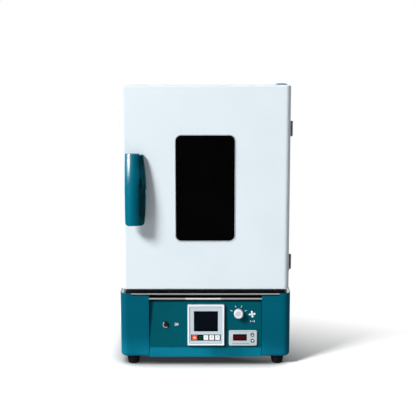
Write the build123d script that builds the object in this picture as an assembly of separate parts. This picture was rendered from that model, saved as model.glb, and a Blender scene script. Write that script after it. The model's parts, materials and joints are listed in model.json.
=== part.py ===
from build123d import *
import math
import os

# Benchtop forced-air drying oven. Millimetres, +Z up, front towards -Y, X = 0 on the middle plane,
# floor at Z = 0 and Y = 0 halfway between the handle's front and the motor cover's back.

# ---- driving sizes: whole oven ----
foot_h = 22.5
base_w = 450.0
base_h = 173.0
base_corner_r = 20.0
base_rear_r = 6.0
base_edge_r = 9.0
base_wall = 1.5
shoulder_w = 29.0
front_cut = 6.7
cabinet_w = 440.0
cabinet_h = 526.5
cabinet_d = 400.0
cabinet_top_r = 12.0
shell_wall = 1.2
door_h = 533.5
door_t = 50.0
door_lift = 11.0
door_gap = 4.0
door_corner_r = 14.5
door_skin_wall = 1.5

# ---- driving sizes: chamber and air duct ----
chamber_w = 340.0
chamber_h = 420.0
chamber_d = 330.0
liner_wall = 1.2
plenum_d = 42.0
insulation_gap = 0.5
rear_insulation_t = 44.0
frame_plate_t = 1.5
shelf_count = 2
shelf_wire_r = 1.6
shelf_rim_r = 2.5
shelf_corner_r = 14.0
shelf_wires = 12
shelf_rear_gap = 8.0
shelf_side_gap = 3.0
shelf_travel = 12.0
support_w = 14.0
support_t = 1.5
upright_w = 16.0
upright_t = 2.0
upright_inset = 45.0
upright_slots = 12
upright_end = 30.0
chamber_r = 4.0
baffle_play = 0.5
baffle_t = 1.5
intake_rings = ((0.01, 1), (14.0, 6), (28.0, 12), (42.0, 18))
intake_hole_r = 4.5
outlet_l = 44.0
outlet_h = 6.0
outlet_rows = 11
outlet_end = 35.0
outlet_side = 12.0
probe_xs = (-118.0, 118.0)
probe_drop = 60.0
probe_r = 2.5
probe_reach = 26.0

# ---- driving sizes: door window, seal, hinges, catch and handle ----
window_w = 156.0
window_h = 279.0
window_r = 16.0
window_mid_z = 474.5
window_rim_w = 1.6
window_rim_lap = 1.0
window_rim_proud = 1.2
inner_window_grow = 8.0
tunnel_wall = 1.2
inner_panel_t = 1.2
inner_panel_fold = 12.0
glass_t = 4.0
glass_lap = 12.0
seal_w = 10.0
seal_r = 20.0
seal_inset = 9.0
seal_play = 0.3
hinge_h = 38.5
hinge_low_z = 252.0
hinge_high_z = 607.5
hinge_r = 4.0
hinge_pin_r = 2.0
hinge_leaf_t = 2.0
hinge_leaf_d = 24.0
hinge_play = 0.05
hinge_face_gap = 0.3
hinge_side_gap = 1.0
handle_low_z = 383.0
handle_h = 184.0
handle_left = -206.0
handle_ridge = -169.0
handle_bulge = -153.0
handle_high_right = -161.0
handle_low_right = -157.5
handle_corner_r = 8.0
handle_reach = 44.0
handle_arch_r = 410.0
handle_arch_z = 442.0
handle_crown = 7.0
handle_flank_w = 16.5
handle_flank_d = 16.5
lever_wall = 3.2
lever_back = 24.0
lever_top_back = 10.0
lever_slit = 0.4
lever_split_r = 75.0
lever_pin_r = 2.5
lever_pin_drop = 19.0
lever_pin_out = 6.5
lug_t = 10.0
lug_r = 5.0
foot_block_h = 76.0
foot_block_t = 12.5
foot_block_low = 14.0
foot_plate_t = 8.0
foot_drop = 12.0
foot_side = 4.5
flank_drop = 3.5
flank_slot_w = 4.8
flank_slot_h = 23.5
flank_slot_x = -165.0
flank_slot_z = 493.5
catch_r = 6.0
catch_l = 30.0
catch_ball_r = 4.5
catch_ball_out = 2.4
catch_x = -204.5
catch_z = 475.0
strike_w = 16.0
strike_h = 40.0
strike_t = 0.8

# ---- driving sizes: control panel and what it carries ----
panel_half_w = 148.3
panel_seam = 1.0
panel_fit = 0.3
panel_t = 1.5
panel_lip_h = 27.5
panel_lean = 10.0
panel_top_drop = 23.5
panel_return = 10.0
rail_h = 5.4
rail_t = 4.5
rail_gap = 5.2
rail_back = 3.0
controller_x = 1.5
controller_z = 109.2
controller_w = 98.0
controller_h = 110.0
controller_proud = 8.0
controller_rim = 5.0
controller_back_d = 70.0
bezel_step = 2.0
inset_fit = 0.2
screen_w = 64.0
screen_h = 54.5
screen_up = 10.0
strip_w = 79.0
strip_h = 16.5
strip_up = -33.75
key_size = 12.4
key_play = 0.3
key_travel = 1.2
key_xs = {"key_power": -29.9, "key_shift": 0.1, "key_down": 15.4, "key_up": 30.7}
limiter_x = 99.7
limiter_z = 74.0
limiter_w = 74.6
limiter_h = 41.0
limiter_proud = 5.0
limiter_back_d = 58.0
limit_display_w = 37.0
limit_display_h = 18.0
limit_display_dx = -8.2
limit_display_up = 1.8
limit_button_r = 4.8
limit_button_dx = 25.3
limit_button_ups = {"limit_up": 8.5, "limit_down": -7.2}
knob_x = 88.0
knob_z = 139.5
knob_r = 12.6
knob_h = 16.0
knob_flutes = 12
spindle_r = 3.0
spindle_play = 0.05
bush_r = 4.5
pot_r = 8.5
pot_d = 9.0
lamp_x = -105.5
lamp_z = 109.0
lamp_r = 9.0
lamp_body_r = 6.0
lamp_depth = 16.0
lens_r = 4.6
lens_rise = 1.8

# ---- driving sizes: fan, heater, vent, rear ----
impeller_r = 62.0
impeller_w = 24.0
impeller_blades = 12
impeller_hub_r = 12.0
impeller_rear_gap = 8.0
impeller_sheet_t = 1.6
fan_shaft_r = 4.0
fan_shaft_play = 0.08
shaft_hole_r = 8.0
motor_r = 42.0
motor_l = 42.0
motor_boss_r = 14.0
bracket_h = 110.0
bracket_t = 2.0
bracket_ear = 16.0
heater_ring_r = 82.0
heater_r = 4.0
heater_leg_r = 4.5
heater_gap_angle = 40.0
floor_t = 1.5
back_t = 1.2
back_louvres = 6
back_louvre_x = 120.0
back_louvre_drop = 60.0
motor_cover_w = 170.0
motor_cover_d = 24.0
motor_cover_r = 18.0
motor_cover_rim = 8.0
cover_wall = 1.2
vent_r = 12.0
vent_wall = 1.5
vent_low_x = 150.0
vent_high_x = 191.0
vent_back = 104.0
hood_left = 161.0
hood_slope_w = 34.0
hood_right = 217.0
hood_h = 18.0
hood_wall = 1.5
hood_l = 70.0
hood_front_gap = 5.0
damper_t = 1.5
damper_stem_w = 8.0
damper_lift = 0.2

# ---- driving sizes: base details and rear electrics ----
foot_r = 17.0
foot_x = 192.5
foot_inset = 26.0
flange_gap = 8.0
deck_t = 1.5
deck_play = 0.3
deck_hem_h = 4.5
deck_hem_d = 7.0
deck_fold_h = 9.0
deck_fold_back = 15.0
column_return = 24.0
louvre_l = 60.0
louvre_h = 5.0
louvre_gap = 14.0
base_louvres = 5
base_louvre_x = 40.0
base_louvre_z = 70.0
inlet_x = -150.0
inlet_z = 95.0
inlet_w = 27.0
inlet_h = 20.0
inlet_flange = 5.0
inlet_flange_t = 3.0
inlet_d = 24.0
switch_w = 21.0
switch_h = 27.0
switch_gap = 3.0
switch_wall = 2.5
socket_w = 24.0
socket_h = 16.5
socket_d = 17.0
socket_corner = 4.0
pin_setback = 6.0
rocker_tilt = 9.0
rocker_depth = 6.0
trunnion_r = 1.5
trunnion_l = 1.6
board_x = (-60.0, 100.0)
board_y = (40.0, 120.0)
board_t = 1.6
board_post_h = 8.0
board_post_r = 3.0
board_post_inset = 8.0
relay_size = (45.0, 58.0, 23.4)
terminal_size = (13.0, 16.0, 14.4)
terminal_pitch = 16.0
terminals = 4

# ---- heights and depths that follow ----
base_top = foot_h + base_h
cabinet_low = base_top
cabinet_top = cabinet_low + cabinet_h
door_low = base_top + door_lift
door_top = door_low + door_h
depth = handle_reach + door_t + door_gap + cabinet_d + motor_cover_d
front = handle_reach - depth / 2
door_back = front + door_t
cabinet_front = door_back + door_gap
cabinet_back = cabinet_front + cabinet_d
chamber_mid_z = (cabinet_low + cabinet_top) / 2
chamber_low = chamber_mid_z - chamber_h / 2
chamber_top = chamber_mid_z + chamber_h / 2
chamber_back = cabinet_front + chamber_d
baffle_y = chamber_back - plenum_d
panel_low = foot_h
panel_bend_z = foot_h + panel_lip_h
panel_top_z = base_top - panel_top_drop
panel_tilt = math.atan2(panel_lean, panel_top_z - panel_bend_z)
hinge_x = cabinet_w / 2 + hinge_side_gap + hinge_r
hinge_y = door_back + door_gap / 2
fan_z = chamber_mid_z
vent_y = front + vent_back
damper_travel = 2 * vent_r + 2
hood_y = (vent_y - vent_r - hood_front_gap, vent_y - vent_r - hood_front_gap + hood_l)
liner_back = chamber_back + liner_wall
impeller_y = (chamber_back - impeller_rear_gap - impeller_w, chamber_back - impeller_rear_gap)
motor_front = liner_back + rear_insulation_t + bracket_t
motor_y = (motor_front, motor_front + motor_l)
heater_leg_x = heater_ring_r * math.sin(math.radians(heater_gap_angle / 2))
heater_leg_z = fan_z - heater_ring_r * math.cos(math.radians(heater_gap_angle / 2))
heater_leg_xs = (-heater_leg_x, heater_leg_x)
probe_z = chamber_top - probe_drop
upright_ys = (cabinet_front + upright_inset, baffle_y - upright_inset)
shelf_depth = baffle_y - cabinet_front - shelf_travel - shelf_rear_gap - 6
switch_x = inlet_x + (inlet_w + switch_w) / 2 + switch_gap
rocker_y = cabinet_back - rocker_depth
field_z = controller_proud - bezel_step
outer_glass_y = (front + door_skin_wall, front + door_skin_wall + glass_t)
inner_glass_y = (door_back - inner_panel_t - glass_t, door_back - inner_panel_t)
handle_top = handle_low_z + handle_h
lever_pin_z = handle_top - lever_pin_drop
lever_pin_y = front - lever_pin_out
arch_y = front - handle_reach + handle_arch_r
lever_hollow_x = (handle_left + lever_wall, handle_ridge - lever_slit - lever_wall)
lug_mid = (lever_hollow_x[0] + lever_hollow_x[1]) / 2
foot_block_x = (lever_hollow_x[0] + foot_side, lever_hollow_x[1] - 1)

panel_face = Plane(
    origin=(0, front, panel_bend_z),
    x_dir=(1, 0, 0),
    z_dir=(0, -math.cos(panel_tilt), math.sin(panel_tilt)),
)


def block(x, y, z):
    """A box between two values on each axis."""
    size = Box(x[1] - x[0], y[1] - y[0], z[1] - z[0])
    return Pos((x[0] + x[1]) / 2, (y[0] + y[1]) / 2, (z[0] + z[1]) / 2) * size


def upright(sketch, y):
    """A sketch drawn in X and Z, run between two Y values."""
    plane = Plane(origin=(0, y[1], 0), x_dir=(1, 0, 0), z_dir=(0, -1, 0))
    return extrude(plane * sketch, y[1] - y[0])


def level(sketch, z):
    """A sketch drawn in X and Y, run between two heights."""
    return extrude(Plane.XY.offset(z[0]) * sketch, z[1] - z[0])


def sideways(sketch, x):
    """A sketch drawn in Y and Z, run between two X values."""
    return extrude(Plane.YZ.offset(x[0]) * sketch, x[1] - x[0])


def rod_y(r, x, z, y):
    """A round bar along Y."""
    return upright(Pos(x, z) * Circle(r), y)


def rod_z(r, x, y, z):
    """A round bar along Z."""
    return level(Pos(x, y) * Circle(r), z)


def rod_x(r, y, z, x):
    """A round bar along X."""
    return sideways(Pos(y, z) * Circle(r), x)


def on_panel(x, z):
    """The place on the sloped panel's outer face at a given X and height."""
    return panel_face * Pos(x, (z - panel_bend_z) / math.cos(panel_tilt), 0)


def proud(sketch, low, high):
    """A sketch in the panel's plane, run between two distances from its face."""
    return extrude(Plane.XY.offset(low) * sketch, high - low)


def through_back(sketch):
    """A cutter through the sheets at the oven's back."""
    return upright(sketch, (cabinet_back - 5, cabinet_back + 1))


def through_liner(r, x, z, y_end):
    """A round cutter from inside the chamber's rear wall to a depth behind it."""
    return rod_y(r, x, z, (chamber_back - 5, y_end))


def arch_rounded(w, h, r):
    """An X-Z sheet outline standing on its lower edge, with its two upper corners rounded."""
    shape = Pos(0, h / 2) * Rectangle(w, h)
    return fillet(shape.vertices().sort_by(Axis.Y)[-2:], r)


def base_outline(inset):
    """The base's plan, drawn in from its outer face by a wall or a clearance."""
    y = (front + inset, cabinet_back - inset)
    plan = Pos(0, (y[0] + y[1]) / 2) * Rectangle(base_w - 2 * inset, y[1] - y[0])
    rear = fillet(plan.vertices().sort_by(Axis.Y)[-2:], max(base_rear_r - inset, 1.0))
    return fillet(rear.vertices().sort_by(Axis.Y)[:2], base_corner_r - inset)


# ---- base ----
def base_shell():
    """Painted sheet casing: rounded front columns, sides, back and an inward bottom flange."""
    outer = level(base_outline(0), (foot_h, base_top))
    outer = fillet(outer.faces().sort_by(Axis.Z)[0].edges(), base_edge_r)
    core = level(base_outline(base_wall), (foot_h + base_wall, base_top + 1))
    core = fillet(core.faces().sort_by(Axis.Z)[0].edges(), base_edge_r - base_wall)
    flange_x = foot_x - foot_r - flange_gap
    flange_y = foot_inset + foot_r + flange_gap
    shell = outer - core - block(
        (-flange_x, flange_x),
        (front + flange_y, cabinet_back - flange_y),
        (foot_h - 1, foot_h + base_wall + 1),
    )
    recess_w = panel_half_w + panel_seam
    recess_back = front + panel_lean + panel_t
    column_top = base_top - front_cut
    shell -= block((-recess_w, recess_w), (front - 1, recess_back), (foot_h - 1, base_top + 1))
    step = base_w / 2 - shoulder_w
    shell -= block((-step, step), (front - 1, front + base_wall + deck_play), (column_top, base_top + 1))
    for side in (-1, 1):
        x = sorted((side * recess_w, side * (recess_w + base_wall)))
        z = (foot_h + base_wall / 2, column_top)
        shell += block(x, (front + base_wall / 2, front + column_return), z)
    for x, w, h in ((inlet_x, inlet_w, inlet_h), (switch_x, switch_w, switch_h)):
        shell -= through_back(Pos(x, inlet_z) * Rectangle(w + 1, h + 1))
    slot = SlotOverall(louvre_l, louvre_h)
    for column in (-1, 0):
        for row in range(base_louvres):
            x = base_louvre_x + column * (louvre_l + louvre_gap)
            shell -= through_back(Pos(x, base_louvre_z + row * 2.4 * louvre_h) * slot)
    return shell


def deck_plate():
    """Mirror-polished lid of the base: rolled front hem between the shoulders and a fold behind the rail."""
    z = (base_top - deck_t, base_top)
    plate = level(base_outline(base_wall + deck_play), z)
    hem_x = base_w / 2 - shoulder_w - deck_play
    hem_z = (base_top - deck_hem_h, base_top)
    hem = block((-hem_x, hem_x), (front, front + deck_hem_d), hem_z)
    hem = fillet(hem.faces().sort_by(Axis.Y)[0].edges().filter_by(Axis.X), deck_hem_h * 0.45)
    fold_x = panel_half_w - 1
    fold_y = (front + deck_fold_back, front + deck_fold_back + deck_t)
    fold = block((-fold_x, fold_x), fold_y, (z[0] - deck_fold_h, z[0]))
    return plate + hem + fold


def bottom_plate():
    """Removable floor of the base, lying on the casing's flange."""
    z = foot_h + base_wall
    inset = base_wall + base_edge_r + 3
    y = (front + column_return + 1, cabinet_back - inset)
    half = base_w / 2 - inset
    plate = block((-half, half), y, (z, z + base_wall))
    slot = SlotOverall(louvre_l, louvre_h)
    for column in (-1, 1):
        for row in range(4):
            plate -= level(Pos(column * louvre_l, row * 4 * louvre_h) * slot, (z - 1, z + base_wall + 1))
    return plate


def feet():
    """Four tapered rubber feet, each with a round shoulder."""
    group = []
    profile = Polyline(
        (0, 0),
        (foot_r - 4.5, 0),
        (foot_r - 2.5, 2),
        (foot_r, foot_h * 0.7),
        (foot_r, foot_h - 3),
        (foot_r - 2, foot_h),
        (0, foot_h),
        (0, 0),
    )
    shape = revolve(Plane.XZ * make_face(profile), Axis.Z)
    for x in (-foot_x, foot_x):
        for y in (front + foot_inset, cabinet_back - foot_inset):
            group.append(Pos(x, y, 0) * shape)
    return Compound(group)


def control_panel():
    """Bent front sheet: vertical lip below, instrument face leaning back above it."""
    half = panel_half_w
    lean_top = front + panel_lean
    inner = front + panel_t / math.cos(panel_tilt)
    inner_top = inner + (panel_top_z - panel_t - panel_bend_z) * math.tan(panel_tilt)
    outline = Polyline(
        (front, panel_low),
        (front, panel_bend_z),
        (lean_top, panel_top_z),
        (lean_top + panel_return, panel_top_z),
        (lean_top + panel_return, panel_top_z - panel_t),
        (inner_top, panel_top_z - panel_t),
        (inner, panel_bend_z),
        (inner, panel_low + panel_t),
        (front + panel_lean + panel_t - panel_fit, panel_low + panel_t),
        (front + panel_lean + panel_t - panel_fit, panel_low),
        (front, panel_low),
    )
    sheet = sideways(make_face(outline), (-half, half))
    cut = Rectangle(controller_w - 8, controller_h - 10)
    sheet -= on_panel(controller_x, controller_z) * proud(cut, -5, 1)
    cut = Rectangle(limiter_w - 2.6, limiter_h - 8)
    sheet -= on_panel(limiter_x, limiter_z) * proud(cut, -5, 1)
    sheet -= on_panel(knob_x, knob_z) * proud(Circle(bush_r + 0.2), -5, 1)
    sheet -= on_panel(lamp_x, lamp_z) * proud(Circle(lamp_body_r + 0.2), -5, 1)
    return sheet


def panel_rail():
    """Polished rail over the panel's top edge, held between the two columns."""
    y = front + rail_back
    z = panel_top_z + rail_gap
    end = panel_half_w + panel_seam
    bar = RectangleRounded(rail_t, rail_h, rail_t * 0.4)
    return sideways(Pos(y + rail_t / 2, z + rail_h / 2) * bar, (-end, end))


# ---- controller ----
def controller_bezel():
    """Moulded frame with a bevelled step, open at the screen and the key strip."""
    body = proud(RectangleRounded(controller_w, controller_h, 3), 0, controller_proud)
    body = chamfer(body.faces().sort_by(Axis.Z)[-1].edges(), 1.2)
    field = RectangleRounded(controller_w - 2 * controller_rim, controller_h - 2 * controller_rim, 2)
    step = extrude(Plane.XY.offset(controller_proud) * field, -bezel_step, taper=35)
    body -= step
    body -= proud(Pos(0, screen_up) * Rectangle(screen_w, screen_h), -1, controller_proud + 1)
    body -= proud(Pos(0, strip_up) * Rectangle(strip_w, strip_h), -1, controller_proud + 1)
    return on_panel(controller_x, controller_z) * body


def controller_screen():
    """Dark display window lying on the controller's housing."""
    outline = Rectangle(screen_w - 2 * inset_fit, screen_h - 2 * inset_fit)
    plate = proud(Pos(0, screen_up) * outline, 0, field_z - 0.8)
    return on_panel(controller_x, controller_z) * plate


def controller_strip():
    """Dark strip with a square well for each key."""
    outline = Rectangle(strip_w - 2 * inset_fit, strip_h - 2 * inset_fit)
    plate = proud(Pos(0, strip_up) * outline, 0, field_z - 0.6)
    for x in key_xs.values():
        well = Pos(x, strip_up) * Rectangle(key_size + 2 * key_play, key_size + 2 * key_play)
        plate -= proud(well, -1, field_z)
    return on_panel(controller_x, controller_z) * plate


def controller_key(x):
    """Square key with rounded corners and a softened top edge."""
    cap = proud(Pos(x, strip_up) * RectangleRounded(key_size, key_size, 1.2), key_travel + 0.4, field_z + 0.5)
    cap = fillet(cap.faces().sort_by(Axis.Z)[-1].edges(), 0.5)
    return on_panel(controller_x, controller_z) * cap


def instrument_cases():
    """The two instruments' cases behind the panel."""
    large = proud(RectangleRounded(controller_w - 10, controller_h - 12, 2), -controller_back_d, 0)
    small = proud(RectangleRounded(limiter_w - 4.6, limiter_h - 10, 2), -limiter_back_d, 0)
    return Compound([on_panel(controller_x, controller_z) * large, on_panel(limiter_x, limiter_z) * small])


# ---- limiter ----
def limiter_bezel():
    """Small instrument frame, open at its display and two round buttons."""
    body = proud(RectangleRounded(limiter_w, limiter_h, 4), 0, limiter_proud)
    body = chamfer(body.faces().sort_by(Axis.Z)[-1].edges(), 1.0)
    display = Pos(limit_display_dx, limit_display_up) * Rectangle(limit_display_w, limit_display_h)
    body -= proud(display, -1, limiter_proud + 1)
    for up in limit_button_ups.values():
        body -= proud(Pos(limit_button_dx, up) * Circle(limit_button_r + key_play), -1, limiter_proud + 1)
        ring = Circle(limit_button_r + 1.6)
        body -= proud(Pos(limit_button_dx, up) * ring, limiter_proud - 0.8, limiter_proud + 1)
    return on_panel(limiter_x, limiter_z) * body


def limiter_display():
    """Dark display window of the limiter."""
    shape = Rectangle(limit_display_w - 2 * inset_fit, limit_display_h - 2 * inset_fit)
    plate = proud(Pos(limit_display_dx, limit_display_up) * shape, 0, limiter_proud - 0.8)
    return on_panel(limiter_x, limiter_z) * plate


def limiter_button(up):
    """Round push button with a softened edge."""
    cap = proud(Pos(limit_button_dx, up) * Circle(limit_button_r), key_travel + 0.4, limiter_proud + 0.4)
    cap = fillet(cap.faces().sort_by(Axis.Z)[-1].edges(), 0.5)
    return on_panel(limiter_x, limiter_z) * cap


# ---- fan-speed control and lamp ----
def speed_knob():
    """Tapered knob with a raised cap ring, turned in one piece with grip flutes."""
    low = 1.2
    profile = Polyline(
        (spindle_r, low),
        (knob_r, low),
        (knob_r - 0.4, knob_h - 2.5),
        (knob_r - 2.4, knob_h),
        (knob_r * 0.56, knob_h),
        (knob_r * 0.52, knob_h - 1.2),
        (0, knob_h - 1.2),
        (0, knob_h - 4),
        (spindle_r, knob_h - 4),
        (spindle_r, low),
    )
    body = revolve(Plane.XZ * make_face(profile), Axis.Z)
    for i in range(knob_flutes):
        turn = Rot(0, 0, i * 360 / knob_flutes)
        body -= turn * Pos(knob_r + 0.7, 0, 0) * proud(Circle(1.3), low - 1, knob_h - 4)
    return on_panel(knob_x, knob_z) * body


def speed_spindle():
    """Metal spindle of the speed control, from the control's case into the knob."""
    bar = proud(Circle(spindle_r), -pot_d, knob_h - 4)
    return on_panel(knob_x, knob_z) * bar


def speed_control():
    """Rotary control behind the panel, with its bush and nut through the sheet."""
    hole = spindle_r + spindle_play
    body = proud(Circle(pot_r), -pot_d - panel_t - 1, -panel_t) + proud(Circle(bush_r), -panel_t, 0.9)
    body -= proud(Circle(hole), -pot_d - 0.2, 2)
    return on_panel(knob_x, knob_z) * body


def lamp_bezel():
    """Chromed lamp ring with a rounded lip and a threaded neck through the panel."""
    profile = Polyline(
        (lens_r + 0.2, 0),
        (lamp_r, 0),
        (lamp_r, 1.4),
        (lamp_r - 1.8, 3.2),
        (lens_r + 1.0, 3.2),
        (lens_r + 0.2, 2.2),
        (lens_r + 0.2, 0),
    )
    ring = revolve(Plane.XZ * make_face(profile), Axis.Z)
    neck = proud(Circle(lamp_body_r), -lamp_depth, 0) - proud(Circle(lens_r + 0.2), -lamp_depth + 2, 1)
    return on_panel(lamp_x, lamp_z) * (ring + neck)


def lamp_lens():
    """Domed lens set in the lamp ring."""
    dome_r = (lens_r**2 + lens_rise**2) / (2 * lens_rise)
    stem = proud(Circle(lens_r), -lamp_depth + 2, 1.6)
    dome = Pos(0, 0, 1.6 + lens_rise - dome_r) * Sphere(dome_r)
    cap = dome & proud(Circle(lens_r), 1.6, 1.6 + lens_rise + 1)
    return on_panel(lamp_x, lamp_z) * (stem + cap)


# ---- cabinet ----
def vent_bore(r):
    """A round bar along the sloping vent, longer than the vent at both ends."""
    low = Vector(vent_low_x, vent_y, chamber_top)
    high = Vector(vent_high_x, vent_y, cabinet_top)
    run = high - low
    plane = Plane(origin=low - run.normalized() * 30, z_dir=run)
    return extrude(plane * Circle(r), run.length + 60)


def cabinet_shell():
    """Painted wrapper: two sides and the top in one bent sheet, closed below by a welded floor."""
    y = (cabinet_front + frame_plate_t, cabinet_back)
    mid = (cabinet_low + cabinet_top) / 2

    def wrap(inset):
        shape = Pos(0, mid - inset) * Rectangle(cabinet_w - 2 * inset, cabinet_h)
        return fillet(shape.vertices().sort_by(Axis.Y)[-2:], cabinet_top_r - inset)

    sheet = upright(wrap(0), y) - upright(wrap(shell_wall), (y[0] - 1, y[1] + 1))
    half = cabinet_w / 2 - shell_wall / 2
    sheet += block((-half, half), (y[0], y[1] - back_t - inset_fit), (cabinet_low, cabinet_low + floor_t))
    return sheet - vent_bore(vent_r + vent_wall + 0.2)


def front_frame():
    """Front plate around the chamber mouth, with a raised strike for the door's catch."""
    plate = Pos(0, cabinet_low) * arch_rounded(cabinet_w, cabinet_h, cabinet_top_r)
    plate -= Pos(0, chamber_mid_z) * RectangleRounded(chamber_w, chamber_h, chamber_r)
    plate -= Pos(catch_x, catch_z) * Circle(catch_ball_r)
    sheet = upright(plate, (cabinet_front, cabinet_front + frame_plate_t))
    strike = RectangleRounded(strike_w, strike_h, 3) - Circle(catch_ball_r)
    return sheet + upright(Pos(catch_x, catch_z) * strike, (cabinet_front - strike_t, cabinet_front))


def chamber_box(grow):
    """The chamber's hollow, grown by a wall or a clearance on all closed sides."""
    shape = RectangleRounded(chamber_w + 2 * grow, chamber_h + 2 * grow, chamber_r + grow)
    return upright(Pos(0, chamber_mid_z) * shape, (cabinet_front + frame_plate_t, chamber_back + grow))


def chamber_liner():
    """Stainless inner box with round-cornered walls, open at the front."""
    liner = chamber_box(liner_wall)
    hollow = RectangleRounded(chamber_w, chamber_h, chamber_r)
    liner -= upright(Pos(0, chamber_mid_z) * hollow, (cabinet_front, chamber_back))
    y_end = liner_back + 5
    liner -= through_liner(shaft_hole_r, 0, fan_z, y_end)
    for x in heater_leg_xs:
        liner -= through_liner(heater_leg_r + 0.4, x, heater_leg_z, y_end)
    for x in probe_xs:
        liner -= through_liner(probe_r + 0.2, x, probe_z, y_end)
    return liner - vent_bore(vent_r + vent_wall + 0.2)


def insulation():
    """Mineral-wool jacket round the liner, open at the front and at the vent."""
    g = insulation_gap
    inset = shell_wall + g
    width = cabinet_w - 2 * inset
    z = (cabinet_low + floor_t + g, cabinet_top - inset)
    y = (cabinet_front + frame_plate_t + g, liner_back + rear_insulation_t)
    jacket = upright(Pos(0, z[0]) * arch_rounded(width, z[1] - z[0], cabinet_top_r - inset), y)
    jacket -= chamber_box(liner_wall + g)
    y_end = y[1] + 5
    jacket -= through_liner(shaft_hole_r, 0, fan_z, y_end)
    for x in heater_leg_xs:
        jacket -= through_liner(heater_leg_r + g, x, heater_leg_z, y_end)
    for x in probe_xs:
        jacket -= through_liner(probe_r + g, x, probe_z, y_end)
    return jacket - vent_bore(vent_r + vent_wall + g)


def back_panel():
    """Rear sheet with rows of vent slots and a round hole for the motor."""
    width = cabinet_w - 2 * (shell_wall + inset_fit)
    z = (cabinet_low + floor_t, cabinet_top - shell_wall - inset_fit)
    shape = Pos(0, z[0]) * arch_rounded(width, z[1] - z[0], cabinet_top_r - shell_wall)
    sheet = upright(shape, (cabinet_back - back_t, cabinet_back))
    sheet -= through_back(Pos(0, fan_z) * Circle(motor_r + 6))
    slot = SlotOverall(louvre_l, louvre_h)
    for x in (-back_louvre_x, back_louvre_x):
        for row in range(back_louvres):
            z_row = cabinet_top - back_louvre_drop - row * 2.6 * louvre_h
            sheet -= through_back(Pos(x, z_row) * slot)
    return sheet


def motor_cover():
    """Pressed cover over the motor: tapered sides, rounded corners and a slotted face."""
    base = Plane(origin=(0, cabinet_back, fan_z), x_dir=(1, 0, 0), z_dir=(0, 1, 0))

    def square(grow, r):
        side = motor_cover_w + 2 * grow
        return base * RectangleRounded(side, side, r)

    body = extrude(square(0, motor_cover_r), motor_cover_d, taper=14)
    body -= extrude(square(-cover_wall, motor_cover_r - cover_wall), motor_cover_d - cover_wall, taper=14)
    rim = square(motor_cover_rim, motor_cover_r / 2) - square(-cover_wall - 0.1, motor_cover_r - 2)
    body += extrude(rim, cover_wall)
    slot = SlotOverall(louvre_l * 1.4, louvre_h)
    for row in range(-2, 3):
        face_y = cabinet_back + motor_cover_d
        body -= upright(Pos(0, fan_z + row * 3.2 * louvre_h) * slot, (face_y - 6, face_y + 2))
    return body


# ---- chamber fittings ----
def air_baffle():
    """Duct wall in front of the fan: round intake holes in the middle, outlet slots at both sides."""
    half_w = chamber_w / 2 - baffle_play
    z = (chamber_low + baffle_play, chamber_top - baffle_play)
    shape = Pos(0, chamber_mid_z) * RectangleRounded(2 * half_w, z[1] - z[0], chamber_r - baffle_play)
    sheet = upright(shape, (baffle_y, baffle_y + baffle_t))
    cut_y = (baffle_y - 1, baffle_y + baffle_t + 1)
    for ring, (ring_r, count) in enumerate(intake_rings):
        for i in range(count):
            angle = 2 * math.pi * (i + 0.5 * (ring % 2)) / count
            spot = Pos(ring_r * math.cos(angle), fan_z + ring_r * math.sin(angle))
            sheet -= upright(spot * RegularPolygon(intake_hole_r, 8), cut_y)
    slot = Rectangle(outlet_l, outlet_h)
    pitch = (chamber_h - 2 * outlet_end) / (outlet_rows - 1)
    for side in (-1, 1):
        for row in range(outlet_rows):
            z_row = fan_z + (row - (outlet_rows - 1) / 2) * pitch
            spot = Pos(side * (half_w - outlet_side - outlet_l / 2), z_row)
            sheet -= upright(spot * slot, cut_y)
    for x in probe_xs:
        sheet -= rod_y(probe_r + 0.2, x, probe_z, cut_y)
    for side in (-1, 1):
        x = sorted((side * half_w, side * (half_w - baffle_t)))
        sheet += block(x, (baffle_y, chamber_back - 0.3), (z[0] + chamber_r, z[1] - chamber_r))
    return sheet


def rack_uprights():
    """Four slotted uprights on the side walls."""
    group = []
    z = (chamber_low + chamber_r, chamber_top - chamber_r)
    for side in (-1, 1):
        x = sorted((side * chamber_w / 2, side * (chamber_w / 2 - upright_t)))
        for y_mid in upright_ys:
            bar = block(x, (y_mid - upright_w / 2, y_mid + upright_w / 2), z)
            for row in range(upright_slots):
                pitch = (z[1] - z[0] - 2 * upright_end) / (upright_slots - 1)
                z_row = z[0] + upright_end + row * pitch
                bar -= block((x[0] - 1, x[1] + 1), (y_mid - 4, y_mid + 4), (z_row - 2, z_row + 2))
            group.append(bar)
    return Compound(group)


def shelf_z(index):
    """Height of a shelf's wires."""
    return chamber_low + chamber_h * (index + 1) / (shelf_count + 1)


def shelf_supports():
    """Angle runners, two to a shelf, fixed to the uprights."""
    group = []
    y = (cabinet_front + 18, baffle_y - 2)
    for index in range(shelf_count):
        z = shelf_z(index) - shelf_rim_r
        for side in (-1, 1):
            wall = chamber_w / 2 - upright_t
            x_web = sorted((side * wall, side * (wall - support_t)))
            x_leg = sorted((side * wall, side * (wall - support_w)))
            web = block(x_web, y, (z - support_t, z + 12))
            leg = block(x_leg, y, (z - support_t, z))
            group.append(web + leg)
    return Compound(group)


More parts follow.
